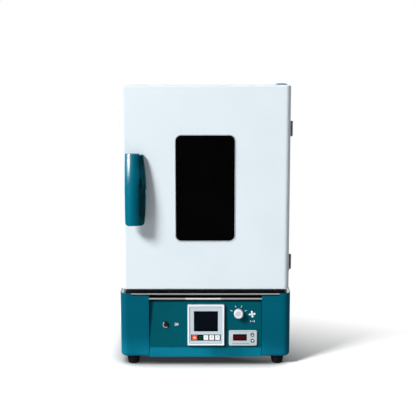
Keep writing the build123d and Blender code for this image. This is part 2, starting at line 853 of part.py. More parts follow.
def wire_shelf(index):
    """Wire shelf: round rim with rounded corners and wires lying on it from front to back."""
    z = shelf_z(index)
    half = chamber_w / 2 - upright_t - support_t - shelf_side_gap
    y = (baffle_y - shelf_rear_gap - shelf_depth, baffle_y - shelf_rear_gap)
    middle = Rectangle(2 * (half - shelf_rim_r), shelf_depth - 2 * shelf_rim_r)
    path = Pos(0, (y[0] + y[1]) / 2) * fillet(middle.vertices(), shelf_corner_r)
    ring_z = (z - shelf_rim_r, z + shelf_rim_r)
    ring = level(offset(path, shelf_rim_r), ring_z)
    ring -= level(offset(path, -shelf_rim_r), (ring_z[0] - 1, ring_z[1] + 1))
    ring = chamfer(ring.faces().sort_by(Axis.Z)[-1].edges(), shelf_rim_r * 0.5)
    ring = chamfer(ring.faces().sort_by(Axis.Z)[0].edges(), shelf_rim_r * 0.5)
    wires = []
    pitch = 2 * half / (shelf_wires + 1)
    for i in range(shelf_wires):
        x = -half + (i + 1) * pitch
        wires.append(rod_y(shelf_wire_r, x, z + shelf_wire_r * 0.3, (y[0] + shelf_rim_r, y[1] - shelf_rim_r)))
    bar_x = (-half + shelf_rim_r, half - shelf_rim_r)
    for share in (1 / 3, 2 / 3):
        wires.append(rod_x(shelf_rim_r * 0.8, y[0] + share * shelf_depth, z - shelf_rim_r * 0.15, bar_x))
    return ring.fuse(*wires)


def temperature_probes():
    """Two steel sensor tubes through the rear wall and the duct wall."""
    y = (baffle_y - probe_reach, liner_back + rear_insulation_t)
    tubes = []
    for x in probe_xs:
        tube = rod_y(probe_r, x, probe_z, y)
        tubes.append(fillet(tube.edges().sort_by(Axis.Y)[:1], probe_r * 0.8))
    return Compound(tubes)


# ---- fan and heater ----
def fan_shaft():
    """Shaft from the motor through the rear wall into the impeller's hub."""
    y = (impeller_y[0], motor_y[1] - 4)
    return rod_y(fan_shaft_r, 0, fan_z, y)


def fan_impeller():
    """Centrifugal wheel: back disc, hub and backward-curved blades."""
    disc = rod_y(impeller_r, 0, fan_z, (impeller_y[1] - 1.5, impeller_y[1]))
    hub = rod_y(impeller_hub_r, 0, fan_z, (impeller_y[0] + 4, impeller_y[1]))
    wheel = disc + hub
    start = Vector(impeller_r * 0.42, 0)
    end = Vector(impeller_r * 0.97 * math.cos(0.5), impeller_r * 0.97 * math.sin(0.5))
    line = ThreePointArc(start, Vector(impeller_r * 0.74, impeller_r * 0.16), end)
    section = trace(line, impeller_sheet_t)
    for i in range(impeller_blades):
        blade = Rot(0, 0, i * 360 / impeller_blades) * section
        wheel += upright(Pos(0, fan_z) * blade, (impeller_y[0], impeller_y[1] - 1))
    return wheel - rod_y(fan_shaft_r, 0, fan_z, (impeller_y[0] - 1, impeller_y[1] + 1))


def fan_motor():
    """Motor can with a stepped front boss that carries the shaft's bearing."""
    can = rod_y(motor_r, 0, fan_z, motor_y)
    can = fillet(can.edges().sort_by(Axis.Y)[-1], 3)
    can += rod_y(motor_boss_r, 0, fan_z, (motor_y[1] - 1, motor_y[1] + 2))
    return can - rod_y(fan_shaft_r + fan_shaft_play, 0, fan_z, (motor_y[0] - 1, motor_y[1] - 3.9))


def motor_bracket():
    """Plate across the rear that carries the motor, with folded ears to the wrapper's sides."""
    y = (motor_y[0] - bracket_t, motor_y[0])
    half = cabinet_w / 2 - shell_wall - inset_fit
    z = (fan_z - bracket_h / 2, fan_z + bracket_h / 2)
    plate = block((-half, half), y, z)
    plate -= rod_y(fan_shaft_r + 3, 0, fan_z, (y[0] - 1, y[1] + 1))
    for side in (-1, 1):
        x = sorted((side * half, side * (half - bracket_t)))
        plate += block(x, (y[0], y[0] + bracket_ear), z)
    for x in heater_leg_xs:
        plate -= rod_y(heater_leg_r + 0.6, x, heater_leg_z, (y[0] - 1, y[1] + 1))
    return plate


def heater_element():
    """Sheathed heater bent in an open ring round the impeller, its two legs going out at the back."""
    y = (impeller_y[0] + impeller_y[1]) / 2
    toward = (heater_leg_x, 0, heater_leg_z - fan_z)
    across = Plane(origin=(heater_leg_x, y, heater_leg_z), x_dir=toward, z_dir=Vector(0, -1, 0).cross(Vector(toward)))
    tube = revolve(across * Circle(heater_r), Axis((0, y, fan_z), (0, -1, 0)), 360 - heater_gap_angle)
    leg_y = (y - heater_leg_r, liner_back + rear_insulation_t + 1)
    for x in heater_leg_xs:
        tube += rod_y(heater_leg_r, x, heater_leg_z, leg_y)
    return tube


# ---- vent ----
def vent_duct():
    """Sloping exhaust tube from the chamber's roof to the cabinet's top."""
    tube = vent_bore(vent_r + vent_wall) - vent_bore(vent_r)
    keep = block((0, cabinet_w), (vent_y - 40, vent_y + 40), (chamber_top, cabinet_top))
    return tube & keep


def vent_hood():
    """Moulded exhaust hood: one long sloped side, a slotted front and a skirt over the cabinet's edge."""
    skirt = cabinet_top - cabinet_top_r / 2
    slope = hood_slope_w / hood_h
    slant = math.hypot(1, slope)

    def outline(inset):
        left = hood_left + inset * slant
        right = hood_right - inset
        below = left - slope * (cabinet_top - skirt)
        return make_face(
            Polyline(
                (below, skirt),
                (left + slope * (hood_h - inset), cabinet_top + hood_h - inset),
                (right, cabinet_top + hood_h - inset),
                (right, skirt),
                (below, skirt),
            )
        )

    body = upright(outline(0), hood_y)
    body = fillet(body.edges().filter_by(Axis.Y).sort_by(Axis.Z)[-2:], 2.0)
    body -= upright(outline(hood_wall), (hood_y[0] + hood_wall, hood_y[1] - hood_wall))
    roof = Pos(0, cabinet_low) * arch_rounded(cabinet_w, cabinet_h, cabinet_top_r)
    body -= upright(roof, (hood_y[0] - 1, hood_y[1] + 1))
    cut_y = (hood_y[0] - 1, hood_y[0] + hood_wall + 1)
    for row in range(2):
        z_low = cabinet_top + damper_t + 3.2 + row * 4.6
        body -= block((hood_left + hood_slope_w, hood_right - 5), cut_y, (z_low, z_low + 3))
    stem_x = (vent_high_x - damper_stem_w / 2 - 0.4, vent_high_x + damper_stem_w / 2 + 0.4)
    return body - block(stem_x, cut_y, (cabinet_top, cabinet_top + damper_t + 0.8))


def vent_damper():
    """Slide plate that covers the vent's mouth, with a stem and a finger tab in front of the hood."""
    z = (cabinet_top + damper_lift, cabinet_top + damper_lift + damper_t)
    half = vent_r + 3
    y_plate = (vent_y + vent_r + 2, vent_y + vent_r + 2 + damper_travel)
    plate = block((vent_high_x - half, vent_high_x + half - 1), y_plate, z)
    stem_y = (hood_y[0] - 8, y_plate[0])
    left = vent_high_x - damper_stem_w / 2
    stem = block((left, left + damper_stem_w), stem_y, z)
    tab = block((left, left + damper_stem_w), (stem_y[0], stem_y[0] + 3), (z[0], z[0] + 9))
    tab = fillet(tab.edges().filter_by(Axis.Y).sort_by(Axis.Z)[-2:], 2.5)
    return plate + stem + tab


# ---- door ----
def door_plan(inset):
    """The door's plan with rounded front edges, drawn in by a wall."""
    y = (front + inset, door_back)
    shape = Pos(0, (y[0] + y[1]) / 2) * Rectangle(cabinet_w - 2 * inset, y[1] - y[0])
    return fillet(shape.vertices().sort_by(Axis.Y)[:2], door_corner_r - inset)


def window_shape(grow):
    """The window's rounded outline, grown or shrunk."""
    r = max(window_r + grow, 2)
    return Pos(0, window_mid_z) * RectangleRounded(window_w + 2 * grow, window_h + 2 * grow, r)


def door_skin():
    """Painted outer pan of the door with its rounded window opening."""
    skin = level(door_plan(0), (door_low, door_top))
    skin = fillet(skin.faces().sort_by(Axis.Y)[0].edges().filter_by(Axis.X), 3.0)
    w = door_skin_wall
    hollow = level(door_plan(w), (door_low + w, door_top - w))
    half = cabinet_w / 2 - w
    hollow += block((-half, half), (door_back - 2, door_back + 1), (door_low + w, door_top - w))
    skin -= hollow
    return skin - upright(window_shape(0), (front - 1, front + 5))


def door_inner_panel():
    """Stainless back of the door, with a folded edge and the window's inner opening."""
    t = inner_panel_t
    half = cabinet_w / 2 - door_skin_wall - inset_fit
    z = (door_low + door_skin_wall + inset_fit, door_top - door_skin_wall - inset_fit)
    y = (door_back - t, door_back)
    sheet = block((-half, half), (y[0] - inner_panel_fold, y[1]), z)
    sheet -= block((-half + t, half - t), (y[0] - inner_panel_fold - 1, y[0]), (z[0] + t, z[1] - t))
    sheet -= upright(window_shape(inner_window_grow), (y[0] - 1, y[1] + 1))
    return sheet - rod_y(catch_r + 0.2, catch_x, catch_z, (y[0] - 1, y[1] + 1))


def window_rim():
    """Bevelled grey frame set in the door's window opening."""
    hole = window_shape(-window_rim_w)
    y_out = front - window_rim_proud
    frame = upright(window_shape(-0.1) - hole, (y_out, front + door_skin_wall))
    frame += upright(window_shape(window_rim_lap) - hole, (y_out, front))
    return chamfer(frame.faces().sort_by(Axis.Y)[0].edges(), 0.8)


def window_panes():
    """Outer pane against the back of the door skin, and inner pane behind the stainless panel."""
    outer = upright(window_shape(glass_lap), outer_glass_y)
    inner = upright(window_shape(glass_lap + inner_window_grow), inner_glass_y)
    return Compound([outer, inner])


def window_tunnel():
    """Sheet sleeve that keeps the panes apart and the wool out of the window."""
    outer = window_shape(glass_lap - 2)
    inner = window_shape(glass_lap - 2 - tunnel_wall)
    return upright(outer - inner, (outer_glass_y[1], inner_glass_y[0]))


def door_insulation():
    """Wool slab round the window inside the door."""
    edge = door_skin_wall + inner_panel_t + 0.6
    half = cabinet_w / 2 - edge
    y = (front + door_skin_wall + 0.3, door_back - inner_panel_t - 0.3)
    shape = Pos(0, (y[0] + y[1]) / 2) * Rectangle(2 * half, y[1] - y[0])
    shape = fillet(shape.vertices().sort_by(Axis.Y)[:2], door_corner_r)
    slab = level(shape, (door_low + edge, door_top - edge))
    slab -= upright(window_shape(glass_lap + 0.5), (y[0] - 1, y[1] + 1))
    slab -= upright(window_shape(glass_lap + inner_window_grow + 0.5), (inner_glass_y[0] - 0.5, y[1] + 20))
    return slab - rod_y(catch_r + 0.5, catch_x, catch_z, (door_back - catch_l - 1, door_back))


def door_seal():
    """Silicone strip round the chamber mouth, fixed to the door's inner panel."""
    inner = RectangleRounded(chamber_w + 2 * seal_inset, chamber_h + 2 * seal_inset, seal_r)
    outer = offset(inner, seal_w)
    ring = upright(Pos(0, chamber_mid_z) * (outer - inner), (door_back, cabinet_front - seal_play))
    return chamfer(ring.faces().sort_by(Axis.Y)[-1].edges(), 1.2)


def door_catch():
    """Sprung roller catch in the door's left edge: sleeve with a ball at its mouth."""
    sleeve = rod_y(catch_r, catch_x, catch_z, (door_back - catch_l, door_back))
    ball = Pos(catch_x, door_back - catch_ball_r + catch_ball_out, catch_z) * Sphere(catch_ball_r)
    return sleeve + ball


# ---- hinges ----
def hinge_half(z_low, upper):
    """One lift-off hinge half: a flat leaf on the side face and its knuckle on the axis."""
    mid = z_low + hinge_h / 2
    z = (mid + hinge_face_gap / 2, z_low + hinge_h) if upper else (z_low, mid - hinge_face_gap / 2)
    sign = -1 if upper else 1
    knuckle = rod_z(hinge_r, hinge_x, hinge_y, z)
    side = cabinet_w / 2
    edge = hinge_y + sign * (hinge_r - 0.5)
    leaf_y = sorted((edge, edge + sign * hinge_leaf_d))
    leaf = block((side, side + hinge_leaf_t), leaf_y, (z_low, z_low + hinge_h))
    web_y = sorted((hinge_y, edge + sign * 1.0))
    web = block((side + 0.3, side + hinge_leaf_t), web_y, z)
    body = leaf + web + knuckle
    if upper:
        return body - rod_z(hinge_pin_r + hinge_play, hinge_x, hinge_y, (z[0] - 1, z[1] - 2))
    return body - rod_z(hinge_pin_r + hinge_play, hinge_x, hinge_y, (z[0] - 1, z[1] + 1))


def hinge_leaves(upper):
    """The two leaves on one side of the joint."""
    return Compound([hinge_half(z, upper) for z in (hinge_low_z, hinge_high_z)])


def hinge_pins():
    """A headed pin up through each hinge."""
    pins = []
    for z in (hinge_low_z, hinge_high_z):
        pin = rod_z(hinge_pin_r, hinge_x, hinge_y, (z - 1.5, z + hinge_h - 4))
        pins.append(pin + rod_z(hinge_r, hinge_x, hinge_y, (z - 1.5, z)))
    return Compound(pins)


# ---- handle ----
def arched(points):
    """A section in X and distance from the arch's axis, turned round that axis."""
    plane = Plane(origin=(0, arch_y, handle_arch_z), x_dir=(1, 0, 0), z_dir=(0, 0, 1))
    return revolve(plane * make_face(points), Axis((0, arch_y, handle_arch_z), (1, 0, 0)))


def handle_form():
    """The whole handle's outer form: arched from end to end, crowned across, with a sloping right flank."""
    r = handle_arch_r
    left = (handle_left, r - handle_crown)
    middle = ((handle_left + handle_ridge) / 2, r)
    ridge = (handle_ridge, r - handle_crown / 2)
    flank = (handle_ridge + handle_flank_w, ridge[1] - handle_flank_d)
    deep = r - 1.6 * handle_reach
    section = ThreePointArc(left, middle, ridge)
    section += Polyline(ridge, flank, (flank[0], deep), (handle_left, deep), left)
    right = ThreePointArc(
        (handle_high_right, handle_top), (handle_bulge, flank_slot_z - 20), (handle_low_right, handle_low_z)
    )
    face = make_face(
        right
        + Polyline(
            (handle_low_right, handle_low_z),
            (handle_left, handle_low_z),
            (handle_left, handle_top),
            (handle_high_right, handle_top),
        )
    )
    face = fillet(face.vertices().sort_by(Axis.Y)[:2], handle_corner_r)
    return arched(section) & upright(face, (front - handle_reach - 1, front))


def split_disc(r):
    """A disc round the lever's pin, which parts the lever from the foot without fouling as it turns."""
    return rod_x(r, lever_pin_y, lever_pin_z, (handle_ridge - lever_slit, 0))


def handle_base():
    """Handle foot on the door: a plate and block behind the lever, and the fixed upper part of the flank."""
    flank = handle_form() & split_disc(lever_split_r - lever_slit)
    flank &= block((handle_ridge, 0), (front - handle_reach, front), (0, handle_top - flank_drop))
    x = foot_block_x
    z = (handle_top - foot_drop - foot_block_h, handle_top - foot_drop)
    z_full = z[0] + foot_block_low
    block_profile = Polyline(
        (front, z[0]),
        (front - foot_plate_t, z[0]),
        (front - foot_block_t, z_full),
        (front - foot_block_t, lever_pin_z),
        (front - foot_plate_t, z[1]),
        (front, z[1]),
        (front, z[0]),
    )
    body = sideways(make_face(block_profile), x)
    body += block((x[1] - 1, handle_ridge + 4), (front - foot_plate_t, front), (z_full, lever_pin_z))
    body += flank
    slot = Pos(flank_slot_x, flank_slot_z) * SlotOverall(flank_slot_h, flank_slot_w, rotation=90)
    body -= upright(slot, (front - handle_reach, front - lever_back + 4))
    gap = lug_t / 2 + lever_slit
    lug_room = (lever_pin_z - lug_r - 4, lever_pin_z + lug_r + 8)
    body -= block((lug_mid - gap, lug_mid + gap), (front - foot_block_t - 1, front - 0.8), lug_room)
    return body - rod_x(lever_pin_r, lever_pin_y, lever_pin_z, (x[0] - 1, x[1]))


def handle_lever():
    """Arched pull lever, hollow behind, hung near its top and free of the door below."""
    profile = Polyline(
        (front - handle_reach - 1, handle_low_z - 1),
        (front - lever_back, handle_low_z - 1),
        (front - lever_back, lever_pin_z - lever_split_r),
        (front - lever_top_back, handle_top + 1),
        (front - handle_reach - 1, handle_top + 1),
        (front - handle_reach - 1, handle_low_z - 1),
    )
    body = handle_form() & sideways(make_face(profile), (handle_left, 0))
    body -= split_disc(lever_split_r)
    flank_x = (handle_ridge - lever_slit, 0)
    body -= block(flank_x, (front - handle_reach - 1, front), (lever_pin_z, handle_top + 1))
    r = handle_arch_r - lever_wall
    x = lever_hollow_x
    left = (x[0], r - handle_crown)
    right = (x[1], r - handle_crown / 2 - 1)
    deep = r - handle_reach
    ceiling = ThreePointArc(left, (lug_mid, r - 1), right)
    room = arched(ceiling + Polyline(right, (x[1], deep), (x[0], deep), left))
    end = 2 * lever_wall
    room &= block((handle_left, 0), (front - handle_reach, front), (handle_low_z + end, handle_top - end))
    body -= room
    lug_x = (lug_mid - lug_t / 2, lug_mid + lug_t / 2)
    lug = block(lug_x, (front - handle_reach, lever_pin_y), (lever_pin_z - lug_r, lever_pin_z + lug_r))
    lug = (lug & handle_form()) + rod_x(lug_r, lever_pin_y, lever_pin_z, lug_x)
    bore = rod_x(lever_pin_r + hinge_play, lever_pin_y, lever_pin_z, (lug_mid - lug_t, lug_mid + lug_t))
    return body + lug - bore


def handle_pin():
    """Cross pin through the handle foot and the lever's lug."""
    return rod_x(lever_pin_r - 0.02, lever_pin_y, lever_pin_z, foot_block_x)


# ---- rear electrics and base inside ----
def power_inlet():
    """Mains module: one flange, a shrouded three-blade inlet and the well of its rocker switch."""
    y = (cabinet_back - inlet_d, cabinet_back + inlet_flange_t)
    body = upright(Pos(inlet_x, inlet_z) * Rectangle(inlet_w, inlet_h), (y[0], cabinet_back))
    body += upright(Pos(switch_x, inlet_z) * Rectangle(switch_w, switch_h), (y[0], cabinet_back))
    span = (inlet_x - inlet_w / 2 - inlet_flange, switch_x + switch_w / 2 + inlet_flange)
    flange = RectangleRounded(span[1] - span[0], max(inlet_h, switch_h) + 6, 3)
    body += upright(Pos((span[0] + span[1]) / 2, inlet_z) * flange, (cabinet_back, y[1]))
    cavity = chamfer(Rectangle(socket_w, socket_h).vertices().sort_by(Axis.Y)[-2:], socket_corner)
    body -= upright(Pos(inlet_x, inlet_z) * cavity, (y[1] - socket_d, y[1] + 1))
    for dx, dz in ((-7, -1.5), (0, 2.5), (7, -1.5)):
        pin = Pos(inlet_x + dx, inlet_z + dz) * Rectangle(2, 4)
        body += upright(pin, (y[1] - socket_d - 1, y[1] - pin_setback))
    well = Rectangle(switch_w - 2 * switch_wall, switch_h - switch_wall - 0.5)
    body -= upright(Pos(switch_x, inlet_z) * well, (y[0] + 3, y[1] + 1))
    reach = switch_w / 2 - switch_wall + trunnion_l
    return body - rod_x(trunnion_r + spindle_play, rocker_y, inlet_z, (switch_x - reach, switch_x + reach))


def switch_rocker():
    """Rocker with a shallow V face on two trunnions, resting with its upper half pressed in."""
    half = switch_h / 2 - 3.6
    outline = Polyline(
        (0, -4),
        (9.0, -half),
        (10.5, -half),
        (8.5, 0),
        (10.5, half),
        (9.0, half),
        (0, 4),
        (-3, 0),
        (0, -4),
    )
    half_w = switch_w / 2 - switch_wall - 0.4
    body = sideways(make_face(outline), (-half_w, half_w))
    body += rod_x(trunnion_r, 0, 0, (-half_w - trunnion_l, half_w + trunnion_l))
    return Pos(switch_x, rocker_y, inlet_z) * Rot(rocker_tilt, 0, 0) * body


def power_board():
    """Relay and terminal board standing on the base's floor behind the instruments."""
    floor = foot_h + 2 * base_wall
    low = floor + board_post_h
    top = low + board_t
    x, y = board_x, board_y
    board = block(x, y, (low, top))
    inset = board_post_inset
    for px in (x[0] + inset, x[1] - inset):
        for py in (y[0] + inset, y[1] - inset):
            board += rod_z(board_post_r, px, py, (floor, low))
    y_near = y[0] + 10
    relay_x = x[0] + 20
    w, d, h = relay_size
    board += block((relay_x, relay_x + w), (y_near, y_near + d), (top, top + h))
    terminal_x = relay_x + w + 15
    w, d, h = terminal_size
    for i in range(terminals):
        left = terminal_x + i * terminal_pitch
        board += block((left, left + w), (y_near, y_near + d), (top, top + h))
    return board


def write(name, shape):
    shape.label = name
    export_step(shape, f"parts/{name}.step")


def build():
    nodes = {
        "base_shell": base_shell(),
        "deck_plate": deck_plate(),
        "base_bottom_plate": bottom_plate(),
        "feet": feet(),
        "control_panel": control_panel(),
        "panel_rail": panel_rail(),
        "controller_bezel": controller_bezel(),
        "controller_screen": controller_screen(),
        "controller_key_strip": controller_strip(),
        "instrument_cases": instrument_cases(),
        "limiter_bezel": limiter_bezel(),
        "limiter_display": limiter_display(),
        "speed_knob": speed_knob(),
        "speed_spindle": speed_spindle(),
        "speed_control": speed_control(),
        "lamp_bezel": lamp_bezel(),
        "lamp_lens": lamp_lens(),
        "cabinet_shell": cabinet_shell(),
        "front_frame": front_frame(),
        "chamber_liner": chamber_liner(),
        "insulation": insulation(),
        "back_panel": back_panel(),
        "motor_cover": motor_cover(),
        "air_baffle": air_baffle(),
        "rack_uprights": rack_uprights(),
        "shelf_supports": shelf_supports(),
        "temperature_probes": temperature_probes(),
        "fan_shaft": fan_shaft(),
        "fan_impeller": fan_impeller(),
        "fan_motor": fan_motor(),
        "motor_bracket": motor_bracket(),
        "heater_element": heater_element(),
        "vent_duct": vent_duct(),
        "vent_hood": vent_hood(),
        "vent_damper": vent_damper(),
        "door_skin": door_skin(),
        "door_inner_panel": door_inner_panel(),
        "door_insulation": door_insulation(),
        "window_rim": window_rim(),
        "window_panes": window_panes(),
        "window_tunnel": window_tunnel(),
        "door_seal": door_seal(),
        "door_catch": door_catch(),
        "hinge_frame_leaves": hinge_leaves(False),
        "hinge_door_leaves": hinge_leaves(True),
        "hinge_pins": hinge_pins(),
        "handle_base": handle_base(),
        "handle_lever": handle_lever(),
        "handle_pin": handle_pin(),
        "power_inlet": power_inlet(),
        "switch_rocker": switch_rocker(),
        "power_board": power_board(),
    }
    for name, x in key_xs.items():
        nodes[name] = controller_key(x)
    for name, up in limit_button_ups.items():
        nodes[name] = limiter_button(up)
    for index in range(shelf_count):
        nodes[f"wire_shelf_{index + 1}"] = wire_shelf(index)
    return nodes


if __name__ == "__main__":
    os.makedirs("parts", exist_ok=True)
    for node, solid in build().items():
        write(node, solid)
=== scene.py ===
import json
import math
import random

import bmesh
import bpy
from mathutils import Matrix, Vector


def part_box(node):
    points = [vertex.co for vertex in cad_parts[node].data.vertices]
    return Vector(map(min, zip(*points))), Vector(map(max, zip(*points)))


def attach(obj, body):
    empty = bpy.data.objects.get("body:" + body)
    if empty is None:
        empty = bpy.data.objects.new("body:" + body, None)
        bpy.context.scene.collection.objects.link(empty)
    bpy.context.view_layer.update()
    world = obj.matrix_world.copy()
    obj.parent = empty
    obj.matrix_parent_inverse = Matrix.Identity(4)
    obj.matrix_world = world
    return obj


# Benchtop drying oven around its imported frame: finishes, printed signs, screws, light and camera.
# Metres, +Z up, front towards -Y. Constants come first, then places, finishes, small pieces and the stage.

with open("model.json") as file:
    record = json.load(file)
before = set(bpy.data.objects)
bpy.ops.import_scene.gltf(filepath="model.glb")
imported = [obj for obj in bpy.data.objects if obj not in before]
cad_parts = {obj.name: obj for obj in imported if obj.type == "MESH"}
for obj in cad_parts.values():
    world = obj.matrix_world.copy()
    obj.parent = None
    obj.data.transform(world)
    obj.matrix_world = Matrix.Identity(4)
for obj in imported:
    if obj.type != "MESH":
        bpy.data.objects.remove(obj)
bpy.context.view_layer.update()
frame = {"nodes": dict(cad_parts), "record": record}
nodes = frame["nodes"]
body_of_node = {}
for body_name, members in frame["record"]["behaviour"]["bodies"].items():
    for member in members:
        body_of_node[member] = body_name
slot_of_node = {row["node"]: row["material_slot"] for row in frame["record"]["subparts"]}

MM = 0.001
random.seed(7)


def srgb(red, green, blue):
    """Linear colour of an 8-bit screen colour."""
    out = []
    for value in (red, green, blue):
        c = value / 255
        out.append(c / 12.92 if c <= 0.04045 else ((c + 0.055) / 1.055) ** 2.4)
    return (*out, 1.0)


def darker(color, share):
    """A colour times a share, which may be above 1 to lighten it."""
    return (color[0] * share, color[1] * share, color[2] * share, 1.0)


# ---------------------------------------------------------------- colours
TEAL = srgb(0, 88, 108)
TEAL_PANEL = srgb(0, 80, 93)
TEAL_PAINTED_FLOOR_LIGHT = srgb(8, 116, 142)
TEAL_HANDLE = srgb(0, 106, 128)
DOOR_WHITE = srgb(219, 229, 235)
RIM_WHITE = srgb(232, 236, 240)
BEVEL_GREY = srgb(130, 142, 154)
FACE_GREY = srgb(186, 198, 208)
LIMITER_GREY = srgb(184, 194, 199)
# Painted light standing in for what the floor bounces up onto the lower paint: the colour, and the heights
# where that starts and is full.
BASE_PAINTED_FLOOR_LIGHT = (TEAL_PAINTED_FLOOR_LIGHT, 78 * MM, 30 * MM)
PANEL_PAINTED_FLOOR_LIGHT = (TEAL_PAINTED_FLOOR_LIGHT, 50 * MM, 46 * MM)

# ---------------------------------------------------------------- sizes and places of the small pieces
DECK_HEM_D = 1.2 * MM
# Middle and half length of the painted bright reflection on the panel rail.
RAIL_PAINTED_REFLECTION_X = -6 * MM
RAIL_PAINTED_REFLECTION_HALF = 48 * MM
DIGIT_H = 9.5 * MM
DIGIT_STEP = 7.6 * MM
DIGIT_SLOPE = 0.12
FAN_SIGN_DX = 36.0 * MM
FAN_SIGN_UP = -2.0 * MM
TICK_DEGREES = (159, 113, 67, 21)
TICK_RING = 20.0 * MM
STRIP_LIGHTS_X = -14.0 * MM
# Right and up from the middle of the lamp or the knob, and the letters' height.
LAMP_CAPTION = (29 * MM, 0.5 * MM, 6.0 * MM)
SPEED_CAPTION = (36.5 * MM, -21 * MM, 5.6 * MM)
# Outlines of the signs on the keys and buttons, in millimetres from their middles.
KEY_SIGNS = {
    "key_shift": ((-1.6, 2.6), (-1.6, 0.6), (1.4, 1.6)),
    "key_down": ((-2.2, 2.6), (0, -0.6), (2.2, 2.6)),
    "key_up": ((-2.2, 0.6), (2.2, 0.6), (0, 3.4)),
}
BUTTON_ARROWS = {
    "limit_up": ((-2.9, -1.9), (2.9, -1.9), (0, 3.1)),
    "limit_down": ((-2.9, 1.9), (0, -3.1), (2.9, 1.9)),
}
# Strokes of each letter in a box from -0.5 to 0.5 both ways.
LETTERS = {
    "O": ((-0.5, -0.5, 0.5, -0.5), (0.5, -0.5, 0.5, 0.5), (0.5, 0.5, -0.5, 0.5), (-0.5, 0.5, -0.5, -0.5)),
    "N": ((-0.5, -0.5, -0.5, 0.5), (-0.5, 0.5, 0.5, -0.5), (0.5, -0.5, 0.5, 0.5)),
    "1": ((0.0, -0.5, 0.0, 0.5),),
    "-": ((-0.4, 0.0, 0.4, 0.0),),
    "4": ((0.3, -0.5, 0.3, 0.5), (0.3, 0.5, -0.5, -0.15), (-0.5, -0.15, 0.5, -0.15)),
}
SCREW_R = 2.6 * MM
HINGE_SCREW_R = 1.9 * MM
HINGE_SCREW_IN = 5 * MM
HINGE_LEAF_T = 2.0 * MM
HINGE_H = 38.5 * MM
COVER_RIM_T = 1.2 * MM
LOUVRE_OUT = 4.0 * MM
LOUVRE_L = 62 * MM
LOUVRE_STEPS = 12
LOUVRE_SHEET_T = 0.6 * MM
# A hood's section from its top edge down: share of its depth, and millimetres above the slot's middle.
LOUVRE_SECTION = ((0, 4.4), (0.55, 3.9), (0.9, 2.4), (1.0, 0.4), (0.97, -4.6))
BASE_LOUVRE_X = (-34 * MM, 40 * MM)
BASE_LOUVRE_Z = [(70 + 12 * row) * MM for row in range(5)]
BACK_LOUVRE_X = (-120 * MM, 120 * MM)
BACK_LOUVRE_Z = [(662 - 13 * row) * MM for row in range(6)]

# ---------------------------------------------------------------- camera and light
CAMERA_X = 0.007
CAMERA_BACK = 2.564
CAMERA_HEIGHT = 0.8436
CAMERA_PITCH = 9.3
CAMERA_LENS = 86.5
CAMERA_FILM = 36
CAMERA_FAR = 200
FLOOR_HALF = 60
AMBIENT = 0.15
FLOOR_SEEN = 1.25
# Painted contact shade: the floor as the camera sees it darkens within this reach of anything standing close
# over it.
CONTACT_REACH = 0.12
# The shadow fades into the white backdrop to the right and back, from here to here in X + 2 Y.
FADE_ALONG = (1, 2, 0)
FADE_FROM = -0.26
FADE_TO = 0.84
FADE_LEAST = 0.035
# Name, strength, softness in degrees, azimuth from the front (negative is left), elevation, and
# whether it lights matte surfaces or only shows as a sheen on glossy ones.
SUNS = (("key", 4.5, 16, -50, 39, True), ("softbox", 3.2, 18, -44, 18, False))


# ---------------------------------------------------------------- places
def place_at(right, up, out, at):
    """A place with its own right, up and outward axes."""
    return Matrix(
        (
            (right.x, up.x, out.x, at[0]),
            (right.y, up.y, out.y, at[1]),
            (right.z, up.z, out.z, at[2]),
            (0, 0, 0, 1),
        )
    )


def across(out):
    """A level direction that isn't along out."""
    return Vector((1, 0, 0)) if abs(out.x) < 0.9 else Vector((0, 1, 0))


def outer_plane(node, inward):
    """Middle of a node's outermost face against a direction, with right, up and outward axes."""
    out = -Vector(inward).normalized()
    right = across(out)
    up = out.cross(right).normalized()
    corners = [v.co for v in nodes[node].data.vertices]
    reach = max(co.dot(out) for co in corners)
    face = [co for co in corners if co.dot(out) > reach - 0.2 * MM]
    low = Vector([min(co[i] for co in face) for i in range(3)])
    high = Vector([max(co[i] for co in face) for i in range(3)])
    middle = (low + high) / 2
    middle += out * (reach - middle.dot(out))
    return place_at(right, up, out, middle)


def facing_front(face):
    """A face's area as seen from the front."""
    return -face.normal.y * face.area


panel_out = max(nodes["controller_screen"].data.polygons, key=facing_front).normal.copy()
panel_reach = outer_plane("control_panel", -panel_out).translation.dot(panel_out)


def panel_place(node):
    """Place on the sloped panel's face under the middle of a node."""
    place = outer_plane("control_panel", -panel_out)
    low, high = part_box(node)
    out = place.col[2].to_3d()
    middle = (low + high) / 2
    place.translation = middle + out * (panel_reach - middle.dot(out))
    return place


